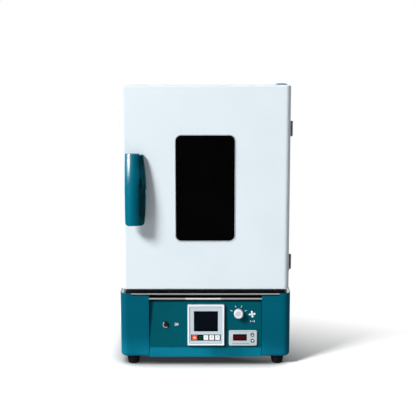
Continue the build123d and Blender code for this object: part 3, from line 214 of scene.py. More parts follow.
# ---------------------------------------------------------------- materials
class Finish:
    """A node material with a Principled shader, built up by small named steps."""

    def __init__(self, name, color, roughness, metallic=0.0):
        self.material = bpy.data.materials.new(name)
        self.material.use_nodes = True
        self.tree = self.material.node_tree
        self.shader = self.tree.nodes["Principled BSDF"]
        self.shader.inputs["Base Color"].default_value = color
        self.shader.inputs["Roughness"].default_value = roughness
        self.shader.inputs["Metallic"].default_value = metallic
        self.material.diffuse_color = color
        self.color = color
        self.place = self.tree.nodes.new("ShaderNodeTexCoord").outputs["Object"]

    def set(self, **values):
        """Set the shader's inputs, named with underscores for spaces."""
        for name, value in values.items():
            self.shader.inputs[name.replace("_", " ")].default_value = value
        return self

    def node(self, kind, **settings):
        made = self.tree.nodes.new(kind)
        for name, value in settings.items():
            setattr(made, name, value)
        return made

    def link(self, source, target):
        self.tree.links.new(source, target)

    def stretched(self, stretch):
        """The object's own coordinates, squeezed along some axes to draw grain out along the others."""
        mapping = self.node("ShaderNodeMapping")
        mapping.inputs["Scale"].default_value = stretch
        self.link(self.place, mapping.inputs["Vector"])
        return mapping.outputs["Vector"]

    def noise(self, size, detail=3.0, roughness=0.55, stretch=(1, 1, 1), distortion=0.0):
        """Noise whose lumps measure about size, in metres."""
        noise = self.node("ShaderNodeTexNoise")
        noise.inputs["Scale"].default_value = 1 / size
        noise.inputs["Detail"].default_value = detail
        noise.inputs["Roughness"].default_value = roughness
        noise.inputs["Distortion"].default_value = distortion
        self.link(self.stretched(stretch), noise.inputs["Vector"])
        return noise.outputs["Fac"]

    def ramp(self, source, low, high, start=0.0, end=1.0):
        """Source remapped from low..high to start..end."""
        node = self.node("ShaderNodeMapRange")
        node.inputs["From Min"].default_value = low
        node.inputs["From Max"].default_value = high
        node.inputs["To Min"].default_value = start
        node.inputs["To Max"].default_value = end
        self.link(source, node.inputs["Value"])
        return node.outputs["Result"]

    def tint(self, source, color, low=0.35, high=0.65):
        """Blend the base colour towards another where source is high."""
        mix = self.node("ShaderNodeMix", data_type="RGBA")
        base = self.shader.inputs["Base Color"]
        if base.is_linked:
            self.link(base.links[0].from_socket, mix.inputs[6])
        else:
            mix.inputs[6].default_value = self.color
        mix.inputs[7].default_value = color
        self.link(self.ramp(source, low, high), mix.inputs[0])
        self.link(mix.outputs[2], base)
        return self

    def along(self, axis):
        """The object's own coordinate on one axis, in metres."""
        split = self.node("ShaderNodeSeparateXYZ")
        self.link(self.place, split.inputs[0])
        return split.outputs[axis]

    def toward(self, direction):
        """The object's own place measured along a direction."""
        return self.product(self.place, direction)

    def product(self, vector, direction):
        """A vector socket measured along a direction."""
        dot = self.node("ShaderNodeVectorMath", operation="DOT_PRODUCT")
        self.link(vector, dot.inputs[0])
        dot.inputs[1].default_value = direction
        return dot.outputs["Value"]

    def calculated(self, operation, *values):
        """A maths node on numbers and sockets."""
        maths = self.node("ShaderNodeMath", operation=operation)
        for value, socket in zip(values, maths.inputs):
            if isinstance(value, (int, float)):
                socket.default_value = value
            else:
                self.link(value, socket)
        return maths.outputs[0]

    def facing(self, direction):
        """How far the surface faces a direction of the object's own, from -1 to 1."""
        return self.product(self.place.node.outputs["Normal"], Vector(direction).normalized())

    def vary_roughness(self, source, low, high):
        """Roughness between low and high, following source."""
        self.link(self.ramp(source, 0.3, 0.7, low, high), self.shader.inputs["Roughness"])
        return self

    def bump(self, source, depth, strength=1.0):
        """Surface relief of a given depth, in metres, added to any relief already there."""
        bump = self.node("ShaderNodeBump")
        bump.inputs["Distance"].default_value = depth
        bump.inputs["Strength"].default_value = strength
        self.link(source, bump.inputs["Height"])
        normal = self.shader.inputs["Normal"]
        if normal.is_linked:
            self.link(normal.links[0].from_socket, bump.inputs["Normal"])
        self.link(bump.outputs["Normal"], normal)
        return self


def powder_coat(name, color, roughness, dust=0.93, specular=0.05, painted_floor_light=None):
    """Baked paint: orange-peel relief, faint cloudiness, and a painted paler foot that stands in for the
    light the floor bounces onto it.
    """
    finish = Finish(name, color, roughness)
    finish.set(Specular_IOR_Level=specular)
    if painted_floor_light:
        pale, high, low = painted_floor_light
        # painted floor bounce light: the paint pales towards its foot
        finish.tint(finish.along("Z"), pale, high, low)
    finish.tint(finish.noise(0.16, 2), darker(color, dust), 0.42, 0.72)
    finish.vary_roughness(finish.noise(0.05, 4), roughness - 0.05, roughness + 0.07)
    finish.bump(finish.noise(0.0022, 2), 0.00007)
    finish.bump(finish.noise(0.0006, 1), 0.00001)
    return finish.material


def moulded(name, color, roughness, grain=0.0007, depth=0.00002):
    """Moulded plastic: fine spark grain and slight roughness drift."""
    finish = Finish(name, color, roughness)
    finish.tint(finish.noise(0.03, 2), darker(color, 0.92), 0.4, 0.7)
    finish.vary_roughness(finish.noise(0.012, 3), roughness - 0.04, roughness + 0.06)
    finish.bump(finish.noise(grain, 2), depth)
    return finish.material


def glossy_moulding_with_painted_shade(name, color):
    """Gloss-moulded plastic, handled to a polish at the upper left, with faint sink marks and painted shade
    on the faces turned to the right.
    """
    finish = Finish(name, color, 0.3)
    finish.set(Specular_IOR_Level=0.04, Coat_Roughness=0.22)
    low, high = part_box("handle_lever")
    upper = finish.ramp(finish.along("Z"), high.z - 80 * MM, high.z - 10 * MM)
    left = finish.ramp(finish.along("X"), low.x + 24 * MM, low.x + 12 * MM)
    finish.link(finish.calculated("MULTIPLY", upper, left), finish.shader.inputs["Coat Weight"])
    # painted shade: faces turned to the right, away from the key light, are darkened in the colour
    finish.tint(finish.facing((1, 0, 0)), darker(color, 0.22), -0.3, 0.6)
    finish.tint(finish.noise(0.03, 2), darker(color, 0.8), 0.4, 0.9)
    finish.vary_roughness(finish.noise(0.012, 3), 0.24, 0.36)
    finish.bump(finish.noise(0.012, 1), 0.00002)
    return finish.material


def brushed(name, color, roughness, stretch=(1, 60, 60), depth=0.00001):
    """Brushed or rolled metal with a drawn-out grain."""
    finish = Finish(name, color, roughness, metallic=1.0)
    grain = finish.noise(0.03, 5, 0.7, stretch)
    finish.vary_roughness(grain, roughness - 0.07, roughness + 0.1)
    finish.tint(grain, darker(color, 0.82), 0.35, 0.75)
    finish.tint(finish.noise(0.06, 3), darker(color, 0.9), 0.5, 0.8)
    finish.bump(grain, depth)
    return finish.material


def polished(name, color, roughness):
    """Plated bright metal with faint haze."""
    finish = Finish(name, color, roughness, metallic=1.0)
    finish.vary_roughness(finish.noise(0.01, 4), roughness * 0.6, roughness * 1.8)
    finish.tint(finish.noise(0.004, 3), darker(color, 0.9), 0.5, 0.8)
    return finish.material


def chrome_with_painted_reflection(name, node, painted_dark_side):
    """Chrome ring with a painted reflection: near black on one side, as if mirroring a dark room, and bright
    on the other, as if mirroring the soft box.
    """
    finish = Finish(name, (0.85, 0.86, 0.87, 1), 0.08, metallic=1.0)
    low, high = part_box(node)
    side = Vector(painted_dark_side).normalized()
    middle = ((low + high) / 2).dot(side)
    # painted reflection: the half of the ring on the given dark side is coloured near black
    finish.tint(finish.toward(side), (0.02, 0.02, 0.02, 1), middle - 0.5 * MM, middle + 1.5 * MM)
    finish.vary_roughness(finish.noise(0.01, 3), 0.05, 0.12)
    return finish.material


def mirror_deck_with_painted_shade(name, hem_depth):
    """Mirror-polished plate, bright on its hem and corners, with painted shade: near black where it runs
    back under the door.
    """
    finish = Finish(name, (0.45, 0.46, 0.45, 1), 0.1, metallic=1.0)
    low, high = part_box("deck_plate")
    start = low.y + hem_depth
    from_middle = finish.calculated("ABSOLUTE", finish.along("X"))
    inboard = finish.ramp(from_middle, high.x - 12 * MM, high.x - 6 * MM, 1.0, 0.0)
    behind_hem = finish.ramp(finish.along("Y"), start, start + 0.8 * MM)
    # painted shade: behind the hem and inboard of the corners the plate is coloured near black and made
    # non-metallic, standing in for the shade and dark reflection under the door
    dark = finish.calculated("MULTIPLY", behind_hem, inboard)
    finish.tint(dark, (0.003, 0.003, 0.004, 1), 0.0, 1.0)
    finish.link(finish.ramp(dark, 0.0, 1.0, 1.0, 0.0), finish.shader.inputs["Metallic"])
    finish.set(Specular_IOR_Level=0.04)
    finish.vary_roughness(finish.noise(0.02, 3), 0.05, 0.12)
    return finish.material


def rail_with_painted_reflection(name, middle, half):
    """Brushed rail with a painted bright reflection along its middle."""
    finish = Finish(name, (0.5, 0.51, 0.53, 1), 0.24, metallic=1.0)
    away = finish.calculated("ABSOLUTE", finish.calculated("SUBTRACT", finish.along("X"), middle))
    # painted reflection: the middle of the rail is coloured near white
    finish.tint(away, (0.93, 0.93, 0.92, 1), half, half - 3 * MM)
    grain = finish.noise(0.03, 5, 0.7, (1, 60, 60))
    finish.tint(grain, (0.42, 0.43, 0.45, 1), 0.6, 0.95)
    finish.vary_roughness(grain, 0.18, 0.32)
    finish.bump(grain, 0.00001)
    return finish.material


def rubbery(name, color, roughness):
    """Matte rubber with fine grit and dusty patches."""
    finish = Finish(name, color, roughness)
    finish.set(Specular_IOR_Level=0.08)
    finish.tint(finish.noise(0.008, 4), darker(color, 3.0), 0.6, 0.9)
    finish.vary_roughness(finish.noise(0.004, 3), roughness - 0.12, roughness + 0.08)
    finish.bump(finish.noise(0.0009, 3), 0.00006)
    return finish.material


def stepped_bezel(name, node):
    """Moulded frame: rim, bevel and sunken face differ in tone, told apart by their height on the panel."""
    finish = Finish(name, RIM_WHITE, 0.42)
    finish.set(Specular_IOR_Level=0.3)
    place = outer_plane(node, -panel_out)
    out = place.col[2].to_3d()
    height = finish.toward(out)
    top = place.translation.dot(out)
    finish.tint(height, BEVEL_GREY, top - 0.15 * MM, top - 0.45 * MM)
    finish.tint(height, FACE_GREY, top - 1.7 * MM, top - 1.9 * MM)
    finish.vary_roughness(finish.noise(0.012, 3), 0.38, 0.46)
    finish.bump(finish.noise(0.0007, 2), 0.00001)
    return finish.material


def glossy_screen(name, color, roughness):
    """Dark cast window with faint smears."""
    finish = Finish(name, color, roughness)
    finish.vary_roughness(finish.noise(0.02, 3, stretch=(1, 1, 0.3)), roughness, roughness + 0.08)
    finish.tint(finish.noise(0.015, 2), darker(color, 0.7), 0.4, 0.7)
    finish.set(Specular_IOR_Level=0.05)
    return finish.material


def smoked_glass(name):
    """Near-black tinted pane with faint smears."""
    finish = Finish(name, (0.0006, 0.0006, 0.0007, 1), 0.04)
    finish.vary_roughness(finish.noise(0.04, 3), 0.03, 0.08)
    finish.tint(finish.noise(0.08, 2), (0.0002, 0.0002, 0.0003, 1), 0.4, 0.7)
    finish.set(Specular_IOR_Level=0.02)
    return finish.material


def glowing(name, color, strength):
    """A lit sign behind the screen, slightly uneven."""
    finish = Finish(name, darker(color, 0.4), 0.4)
    finish.set(Emission_Color=color, Emission_Strength=strength, Specular_IOR_Level=0.05)
    finish.tint(finish.noise(0.0012, 2), darker(color, 0.25), 0.4, 0.7)
    return finish.material


def wool(name):
    """Mineral wool: fibrous, with clumps."""
    finish = Finish(name, (0.72, 0.63, 0.36, 1), 0.95)
    finish.tint(finish.noise(0.01, 6, 0.7), (0.45, 0.37, 0.18, 1), 0.4, 0.7)
    finish.bump(finish.noise(0.002, 6, 0.8, (1, 3, 1)), 0.0012)
    return finish.material


def heat_tinted(name):
    """Heater sheath with straw and blue heat tints."""
    finish = Finish(name, (0.3, 0.27, 0.24, 1), 0.42, metallic=1.0)
    finish.tint(finish.noise(0.05, 3), (0.2, 0.13, 0.09, 1), 0.4, 0.65)
    finish.tint(finish.noise(0.03, 2), (0.1, 0.11, 0.19, 1), 0.55, 0.8)
    finish.bump(finish.noise(0.001, 3), 0.00003)
    return finish.material


def circuit_board(name):
    """Green board and grey housings, blotched at track scale."""
    finish = Finish(name, (0.02, 0.13, 0.06, 1), 0.45)
    finish.tint(finish.noise(0.004, 2, stretch=(1, 4, 1)), (0.05, 0.22, 0.12, 1), 0.5, 0.6)
    finish.bump(finish.noise(0.002, 2), 0.00005)
    return finish.material


finishes = {
    "teal_paint": powder_coat("teal_paint", TEAL, 0.34, specular=0.03, painted_floor_light=BASE_PAINTED_FLOOR_LIGHT),
    "panel_paint": powder_coat("panel_paint", TEAL_PANEL, 0.4, specular=0.03, painted_floor_light=PANEL_PAINTED_FLOOR_LIGHT),
    "white_paint": powder_coat("white_paint", DOOR_WHITE, 0.36, dust=0.97, specular=0.01),
    "stainless": brushed("stainless", (0.58, 0.59, 0.6, 1), 0.24),
    "zinc_sheet": brushed("zinc_sheet", (0.52, 0.54, 0.55, 1), 0.4, (1, 1, 1)),
    "chrome": polished("chrome", (0.83, 0.85, 0.87, 1), 0.08),
    "steel": brushed("steel", (0.5, 0.5, 0.5, 1), 0.3),
    "hinge_steel": brushed("hinge_steel", (0.1, 0.105, 0.12, 1), 0.45, (60, 60, 1)),
    "aluminium": brushed("aluminium", (0.7, 0.71, 0.72, 1), 0.36, (1, 1, 1)),
    "heater_sheath": heat_tinted("heater_sheath"),
    "shelf_wire": polished("shelf_wire", (0.72, 0.73, 0.74, 1), 0.16),
    "black_paint": powder_coat("black_paint", (0.02, 0.02, 0.022, 1), 0.42),
    "rubber": rubbery("rubber", (0.003, 0.003, 0.004, 1), 0.7),
    "silicone": rubbery("silicone", (0.3, 0.055, 0.035, 1), 0.55),
    "pale_plastic": moulded("pale_plastic", LIMITER_GREY, 0.38),
    "white_plastic": moulded("white_plastic", srgb(218, 222, 230), 0.28),
    "black_plastic": moulded("black_plastic", (0.016, 0.017, 0.018, 1), 0.5),
    "teal_plastic": glossy_moulding_with_painted_shade("teal_plastic", TEAL_HANDLE),
    "grey_trim": moulded("grey_trim", srgb(176, 184, 188), 0.3),
    "dark_display": glossy_screen("dark_display", (0.0012, 0.003, 0.006, 1), 0.12),
    "strip_plastic": glossy_screen("strip_plastic", (0.001, 0.012, 0.013, 1), 0.25),
    "orange_key": moulded("orange_key", srgb(236, 96, 44), 0.42),
    "white_key": moulded("white_key", srgb(238, 242, 242), 0.4),
    "dark_button": moulded("dark_button", (0.02, 0.024, 0.027, 1), 0.4),
    "lamp_lens": glossy_screen("lamp_lens", (0.006, 0.02, 0.012, 1), 0.1),
    "glass": smoked_glass("glass"),
    "mineral_wool": wool("mineral_wool"),
    "board": circuit_board("board"),
}


# Nodes whose finish isn't the one of their material slot.
own_finishes = {
    "controller_bezel": stepped_bezel("controller_moulding", "controller_bezel"),
    "deck_plate": mirror_deck_with_painted_shade("deck_mirror", DECK_HEM_D),
    "panel_rail": rail_with_painted_reflection("rail_steel", RAIL_PAINTED_REFLECTION_X, RAIL_PAINTED_REFLECTION_HALF),
    "lamp_bezel": chrome_with_painted_reflection("lamp_chrome_painted_reflection", "lamp_bezel", (0.8, 0, 0.6)),
}


def dress_frame():
    """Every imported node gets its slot's finish, smooth curved faces and crisp folds."""
    for name, piece in nodes.items():
        piece.data.materials.clear()
        piece.data.materials.append(own_finishes.get(name) or finishes[slot_of_node[name]])
        for face in piece.data.polygons:
            face.use_smooth = True
        weld = piece.modifiers.new("weld", "WELD")
        weld.merge_threshold = 0.002 * MM
        split = piece.modifiers.new("folds", "EDGE_SPLIT")
        split.split_angle = math.radians(28)
        split.use_edge_sharp = False


dress_frame()


# ---------------------------------------------------------------- mesh helpers
def piece_from(name, mesh, slot, body, finish=None):
    """Link a mesh as a piece of the object, with a finish, riding on a body."""
    piece = bpy.data.objects.new(name, mesh)
    bpy.context.scene.collection.objects.link(piece)
    mesh.materials.append(finish or finishes[slot])
    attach(piece, body)
    return piece


def mesh_from(name, build, smooth=False):
    """A mesh made by a function that fills a bmesh."""
    mesh = bpy.data.meshes.new(name)
    work = bmesh.new()
    build(work)
    bmesh.ops.recalc_face_normals(work, faces=work.faces)
    work.to_mesh(mesh)
    work.free()
    for face in mesh.polygons:
        face.use_smooth = smooth
    return mesh


def raise_outline(work, outline, place, low, high, soften=0.0):
    """A flat closed outline, in metres, raised from low to high above a place, with a softened top edge."""
    levels = [(low, 0.0), (high - soften, 0.0), (high, soften)] if soften else [(low, 0.0), (high, 0.0)]
    middle = sum((Vector(p) for p in outline), Vector((0, 0))) / len(outline)
    loops = []
    for z, inset in levels:
        loop = []
        for point in outline:
            away = Vector(point) - middle
            length = max(away.length, 1e-9)
            at = middle + away * max(0.0, 1 - inset / length)
            loop.append(work.verts.new(place @ Vector((at.x, at.y, z))))
        loops.append(loop)
    for a, b in zip(loops, loops[1:]):
        for i in range(len(outline)):
            j = (i + 1) % len(outline)
            work.faces.new((a[i], a[j], b[j], b[i]))
    work.faces.new(loops[-1])
    work.faces.new(list(reversed(loops[0])))


def disc(radius, count=24):
    """A circle's outline about the origin."""
    turns = [2 * math.pi * i / count for i in range(count)]
    return [(radius * math.cos(turn), radius * math.sin(turn)) for turn in turns]


def rounded(width, height, radius, x=0.0, y=0.0, steps=5):
    """A rectangle with round corners."""
    points = []
    for quarter, (sx, sy) in enumerate(((1, 1), (-1, 1), (-1, -1), (1, -1))):
        cx = x + sx * (width / 2 - radius)
        cy = y + sy * (height / 2 - radius)
        for i in range(steps + 1):
            angle = math.pi / 2 * (quarter + i / steps)
            points.append((cx + radius * math.cos(angle), cy + radius * math.sin(angle)))
    return points


def turned(outline, angle):
    """An outline turned about the origin."""
    c, s = math.cos(angle), math.sin(angle)
    return [(x * c - y * s, x * s + y * c) for x, y in outline]


def in_mm(outline):
    """An outline given in millimetres, in metres."""
    return [(x * MM, y * MM) for x, y in outline]


def printed(name, outlines, place, slot, body, finish, thick=0.12 * MM):
    """Printed or moulded marks: thin raised outlines let slightly into their surface."""

    def build(work):
        for outline in outlines:
            raise_outline(work, outline, place, -0.05 * MM, thick)

    return piece_from(name, mesh_from(name, build), slot, body, finish)


# ---------------------------------------------------------------- printed marks and small parts
PRINT_WHITE = moulded("print_white", srgb(226, 234, 236), 0.5)
PRINT_DARK = moulded("print_dark", (0.012, 0.014, 0.016, 1), 0.5)
PRINT_GREEN = moulded("print_green", srgb(24, 108, 84), 0.5)
DIGIT_RED = glowing("digit_red", (0.32, 0.005, 0.004, 1), 0.12)


def petal(angle):
    """One blade of the fan sign: a rounded drop reaching out from the hub."""
    points = []
    for i in range(16):
        turn = 2 * math.pi * i / 16
        width = (2.5 - 0.8 * math.cos(turn)) * MM
        points.append((5.2 * MM - 3.7 * MM * math.cos(turn), width * math.sin(turn) + 0.8 * MM))
    return turned(points, angle)


def fan_sign():
    """Four blades and a hub, printed beside the knob."""
    place = panel_place("speed_knob") @ Matrix.Translation((FAN_SIGN_DX, FAN_SIGN_UP, 0))
    blades = [petal(math.pi / 2 * i) for i in range(4)]
    printed("fan_sign", blades + [disc(1.9 * MM)], place, "panel_paint", "cabinet", PRINT_WHITE)


def speed_marks():
    """Four ticks fanned over the knob."""
    place = panel_place("speed_knob")
    ticks = []
    for degrees in TICK_DEGREES:
        angle = math.radians(degrees)
        tick = rounded(5.6 * MM, 1.4 * MM, 0.5 * MM, x=TICK_RING, steps=2)
        ticks.append(turned(tick, angle))
    printed("speed_marks", ticks, place, "panel_paint", "cabinet", PRINT_WHITE)


def knob_cap():
    """Inner ring and grip bar moulded in the knob's sunken top."""
    place = outer_plane("speed_knob", -panel_out)
    ring = disc(6.1 * MM, 32)
    bar = turned(rounded(8.4 * MM, 2.6 * MM, 1.2 * MM), 0.9)

    def build(work):
        raise_outline(work, ring, place, -1.3 * MM, -0.7 * MM, 0.3 * MM)
        raise_outline(work, bar, place, -0.9 * MM, 0.1 * MM, 0.3 * MM)

    finish = moulded("knob_cap", srgb(196, 200, 206), 0.4)
    piece_from("knob_cap", mesh_from("knob_cap", build), "white_plastic", body_of_node["speed_knob"], finish)


def key_marks():
    """Plain signs on the controller's keys and small lights between them."""
    power = outer_plane("key_power", -panel_out)
    arch = [(-2.6, -1.4), (2.6, -1.4), (2.6, 0.2)]
    for step in range(1, 8):
        angle = step * math.pi / 8
        arch.append((2.4 * math.cos(angle), 0.2 + 1.9 * math.sin(angle)))
    arch.append((-2.6, 0.2))
    printed("power_mark", [in_mm(arch)], power, "orange_key", body_of_node["key_power"], PRINT_WHITE)
    for node, sign in KEY_SIGNS.items():
        place = outer_plane(node, -panel_out)
        printed(f"{node}_mark", [in_mm(sign)], place, "white_key", body_of_node[node], PRINT_DARK)
    strip = outer_plane("controller_key_strip", -panel_out)
    dots = []
    for row in (-1, 1):
        for column in (-1, 0, 1):
            x = STRIP_LIGHTS_X + column * 3.4 * MM
            dots.append(rounded(2.2 * MM, 1.1 * MM, 0.4 * MM, x, row * 2.4 * MM, 2))
    printed("strip_lights", dots, strip, "strip_plastic", "cabinet", PRINT_GREEN)


def limiter_marks():
    """Arrow signs on the two round buttons and a thin ruled line under the display."""
    for node, arrow in BUTTON_ARROWS.items():
        place = outer_plane(node, -panel_out)
        printed(f"{node}_arrow", [in_mm(arrow)], place, "dark_button", body_of_node[node], PRINT_WHITE)
    place = outer_plane("limiter_bezel", -panel_out)
    line = rounded(46 * MM, 0.8 * MM, 0.3 * MM, -6 * MM, -14.6 * MM, 2)
    frame_low = rounded(66 * MM, 0.5 * MM, 0.2 * MM, 0, 17.2 * MM, 2)
    printed("limiter_rule", [line, frame_low], place, "pale_plastic", "cabinet", PRINT_DARK)


def seven_segments(value, x, y, height):
    """The lit bars of one digit, sloped a little to the right."""
    lit = {
        "0": "abcdef", "1": "bc", "2": "abdeg", "3": "abcdg", "4": "bcfg",
        "5": "acdfg", "6": "acdefg", "7": "abc", "8": "abcdefg", "9": "abcdfg",
    }[value]
    width = height * 0.5
    thick = height * 0.13
    spots = {
        "a": (0, height / 2, 0), "g": (0, 0, 0), "d": (0, -height / 2, 0),
        "f": (-width / 2, height / 4, 1), "b": (width / 2, height / 4, 1),
        "e": (-width / 2, -height / 4, 1), "c": (width / 2, -height / 4, 1),
    }
    bars = []
    for letter in lit:
        dx, dy, upright = spots[letter]
        length = height / 2 - thick * 1.2
        half_w, half_h = (thick / 2, length / 2) if upright else (width / 2 - thick * 0.8, thick / 2)
        bar = []
        for sx, sy in ((-1, -1), (1, -1), (1, 1), (-1, 1)):
            py = dy + sy * half_h
            bar.append((x + dx + sx * half_w + py * DIGIT_SLOPE, y + py))
        bars.append(bar)
    return bars


def limiter_digits():
    """Every bar of the limiter's four digits, lit dark red."""
    place = outer_plane("limiter_display", -panel_out)
    bars = []
    for i, value in enumerate("8888"):
        bars += seven_segments(value, (i - 1.5) * DIGIT_STEP, 0.0, DIGIT_H)
    printed("limiter_digits", bars, place, "dark_display", "cabinet", DIGIT_RED)


def stroke(x1, y1, x2, y2, width):
    """One straight stroke of a printed letter or digit."""
    run = Vector((x2 - x1, y2 - y1))
    side = Vector((-run.y, run.x)).normalized() * width / 2
    ends = (Vector((x1, y1)), Vector((x2, y2)))
    return [tuple(ends[0] - side), tuple(ends[1] - side), tuple(ends[1] + side), tuple(ends[0] + side)]


def caption(name, node, text, dx, dy, height, finish):
    """A short generic caption, such as ON or a range of numbers, beside a panel part."""
    place = panel_place(node)
    width = height * 0.55
    line = height * 0.17
    strokes = []
    for i, letter in enumerate(text):
        x = dx + (i - (len(text) - 1) / 2) * width * 1.5
        for x1, y1, x2, y2 in LETTERS[letter]:
            ends = (x + x1 * width, dy + y1 * height, x + x2 * width, dy + y2 * height)
            strokes.append(stroke(*ends, line))
    printed(name, strokes, place, "panel_paint", "cabinet", finish)


def screw_heads(name, spots, out, slot, body, radius):
    """Pan-head cross-recess screws standing on a face, in one piece."""
    out = Vector(out).normalized()
    right = across(out)
    up = out.cross(right)

    def build(work):
        for spot in spots:
            turn = Matrix.Rotation(random.uniform(0, math.pi), 4, "Z")
            place = place_at(right, up, out, spot)
            raise_outline(work, disc(radius, 20), place, -0.1 * MM, 0.42 * radius, 0.32 * radius)
            for quarter in (0, math.pi / 2):
                bar = turned(rounded(radius * 0.95, radius * 0.2, radius * 0.05, steps=1), quarter)
                raise_outline(work, bar, place @ turn, 0.4 * radius, 0.42 * radius + 0.04 * MM)

    piece_from(name, mesh_from(name, build), slot, body)


def hinge_screws():
    """Two screws in each hinge leaf, on the oven's right side."""
    for node in ("hinge_frame_leaves", "hinge_door_leaves"):
        low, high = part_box(node)
        leaf_y = high.y - HINGE_SCREW_IN if node == "hinge_frame_leaves" else low.y + HINGE_SCREW_IN
        leaf_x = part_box("door_skin")[1].x + HINGE_LEAF_T
        spots = []
        for foot in (low.z, high.z - HINGE_H):
            spots += [(leaf_x, leaf_y, foot + share * HINGE_H) for share in (0.2, 0.8)]
        screw_heads(f"{node}_screws", spots, (1, 0, 0), "steel", body_of_node[node], HINGE_SCREW_R)


def back_screws():
    """Screws round the rear sheet, the motor cover and the base's back."""
    low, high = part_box("back_panel")
    inset = 9 * MM
    spots = []
    for x in (low.x + inset, high.x - inset):
        for share in (0.04, 0.27, 0.5, 0.73, 0.94):
            spots.append((x, high.y, low.z + share * (high.z - low.z)))
    low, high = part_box("motor_cover")
    rim = 4 * MM
    for x in (low.x + rim, high.x - rim):
        for z in (low.z + 22 * MM, high.z - 22 * MM):
            spots.append((x, low.y + COVER_RIM_T, z))
    low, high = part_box("base_shell")
    for x in (low.x + 16 * MM, high.x - 16 * MM):
        for z in (low.z + 24 * MM, high.z - 14 * MM):
            spots.append((x, high.y, z))
    low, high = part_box("power_inlet")
    for x in (low.x + SCREW_R, high.x - SCREW_R):
        spots.append((x, high.y, (low.z + high.z) / 2))
    screw_heads("back_screws", spots, (0, 1, 0), "steel", "cabinet", SCREW_R)


def door_screws():
    """Screws round the door's inner panel, outside the seal."""
    low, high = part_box("door_inner_panel")
    inset = 11 * MM
    spots = []
    for x in (low.x + inset, high.x - inset):
        for share in (0.04, 0.35, 0.65, 0.96):
            spots.append((x, high.y, low.z + share * (high.z - low.z)))
    screw_heads("door_screws", spots, (0, 1, 0), "steel", "door", SCREW_R)


def louvre_hoods(name, xs, zs, face_y, slot):
    """Pressed hoods over a rear sheet's louvre slots, closed above and open below."""

    def build(work):
        for x in xs:
            for z in zs:
                rings = []
                for i in range(LOUVRE_STEPS + 1):
                    share = -1 + 2 * i / LOUVRE_STEPS
                    reach = LOUVRE_OUT * math.sqrt(max(0.0, 1 - share**4)) + 0.15 * MM
                    along = x + share * LOUVRE_L / 2
                    ring = []
                    for depth, height in LOUVRE_SECTION:
                        ring.append(work.verts.new((along, face_y + depth * reach, z + height * MM)))
                    rings.append(ring)
                for a, b in zip(rings, rings[1:]):
                    for i in range(4):
                        work.faces.new((a[i], a[i + 1], b[i + 1], b[i]))

    mesh = mesh_from(name, build, smooth=True)
    piece = piece_from(name, mesh, slot, "cabinet")
    thick = piece.modifiers.new("sheet", "SOLIDIFY")
    thick.thickness = LOUVRE_SHEET_T
    thick.offset = -1


fan_sign()
speed_marks()
knob_cap()
key_marks()
limiter_marks()
limiter_digits()
caption("lamp_caption", "lamp_bezel", "ON", *LAMP_CAPTION, PRINT_WHITE)
caption("speed_caption", "speed_knob", "1-4", *SPEED_CAPTION, PRINT_WHITE)
hinge_screws()
back_screws()
door_screws()
base_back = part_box("base_shell")[1].y
louvre_hoods("base_louvre_hoods", BASE_LOUVRE_X, BASE_LOUVRE_Z, base_back, "teal_paint")
sheet_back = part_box("back_panel")[1].y
louvre_hoods("back_louvre_hoods", BACK_LOUVRE_X, BACK_LOUVRE_Z, sheet_back, "zinc_sheet")


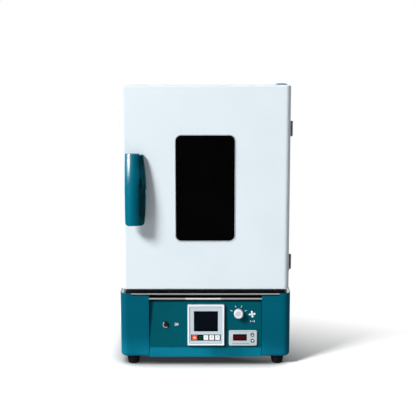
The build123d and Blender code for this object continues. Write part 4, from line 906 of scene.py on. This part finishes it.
# ---------------------------------------------------------------- stage
def stage():
    """Plain white floor and world, soft key light from the upper left, camera at the photograph's place."""
    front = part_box("door_skin")[0].y
    camera_data = bpy.data.cameras.new("camera")
    camera = bpy.data.objects.new("camera", camera_data)
    bpy.context.scene.collection.objects.link(camera)
    camera.location = (CAMERA_X, front - CAMERA_BACK, CAMERA_HEIGHT)
    camera.rotation_euler = (math.radians(90 - CAMERA_PITCH), 0, 0)
    camera_data.lens = CAMERA_LENS
    camera_data.sensor_width = CAMERA_FILM
    camera_data.clip_end = CAMERA_FAR
    bpy.context.scene.camera = camera

    def build(work):
        bmesh.ops.create_grid(work, x_segments=2, y_segments=2, size=FLOOR_HALF)

    mesh = mesh_from("floor", build)
    floor = bpy.data.objects.new("floor", mesh)
    bpy.context.scene.collection.objects.link(floor)
    mesh.materials.append(floor_finish())

    for name, energy, angle, azimuth, elevation, lights_diffuse in SUNS:
        data = bpy.data.lights.new(name, "SUN")
        data.energy = energy
        data.angle = math.radians(angle)
        lamp = bpy.data.objects.new(name, data)
        lamp.rotation_euler = (math.radians(90 - elevation), 0, math.radians(azimuth))
        lamp.visible_diffuse = lights_diffuse
        bpy.context.scene.collection.objects.link(lamp)

    world = bpy.data.worlds.new("studio")
    bpy.context.scene.world = world
    world.use_nodes = True
    tree = world.node_tree
    background = tree.nodes["Background"]
    path = tree.nodes.new("ShaderNodeLightPath")
    seen = tree.nodes.new("ShaderNodeMath")
    seen.operation = "MAXIMUM"
    tree.links.new(path.outputs["Is Camera Ray"], seen.inputs[0])
    both = tree.nodes.new("ShaderNodeMath")
    both.operation = "MAXIMUM"
    tree.links.new(path.outputs["Is Glossy Ray"], both.inputs[0])
    tree.links.new(path.outputs["Is Transmission Ray"], both.inputs[1])
    tree.links.new(both.outputs[0], seen.inputs[1])
    level = tree.nodes.new("ShaderNodeMapRange")
    level.inputs["To Min"].default_value = AMBIENT
    level.inputs["To Max"].default_value = 1.0
    tree.links.new(seen.outputs[0], level.inputs["Value"])
    background.inputs["Color"].default_value = (1, 1, 1, 1)
    tree.links.new(level.outputs["Result"], background.inputs["Strength"])
    bpy.context.scene.view_settings.view_transform = "Standard"


def floor_finish():
    """White floor: the camera sees it a little brighter than it lights the oven, its shadows stay, and
    painted contact shade darkens it close under the oven.
    """
    finish = Finish("floor", (0.5, 0.505, 0.51, 1), 0.6)
    finish.set(Specular_IOR_Level=0.1)
    finish.tint(finish.noise(0.5, 2), (0.49, 0.495, 0.5, 1), 0.4, 0.6)
    painted_contact_shade = finish.node("ShaderNodeAmbientOcclusion")
    painted_contact_shade.inputs["Distance"].default_value = CONTACT_REACH
    seen = finish.node("ShaderNodeBsdfDiffuse")
    # painted contact shade: the seen colour darkens with ambient occlusion
    finish.link(finish.ramp(painted_contact_shade.outputs["AO"], 0.3, 0.85, 0.1, FLOOR_SEEN), seen.inputs["Color"])
    backdrop = finish.node("ShaderNodeEmission")
    fading = finish.node("ShaderNodeMixShader")
    away = finish.toward(FADE_ALONG)
    finish.link(finish.ramp(away, FADE_FROM, FADE_TO, FADE_LEAST, 1.0), fading.inputs[0])
    finish.link(seen.outputs[0], fading.inputs[1])
    finish.link(backdrop.outputs[0], fading.inputs[2])
    mix = finish.node("ShaderNodeMixShader")
    finish.link(finish.node("ShaderNodeLightPath").outputs["Is Camera Ray"], mix.inputs[0])
    finish.link(finish.shader.outputs[0], mix.inputs[1])
    finish.link(fading.outputs[0], mix.inputs[2])
    finish.link(mix.outputs[0], finish.tree.nodes["Material Output"].inputs["Surface"])
    return finish.material


stage()
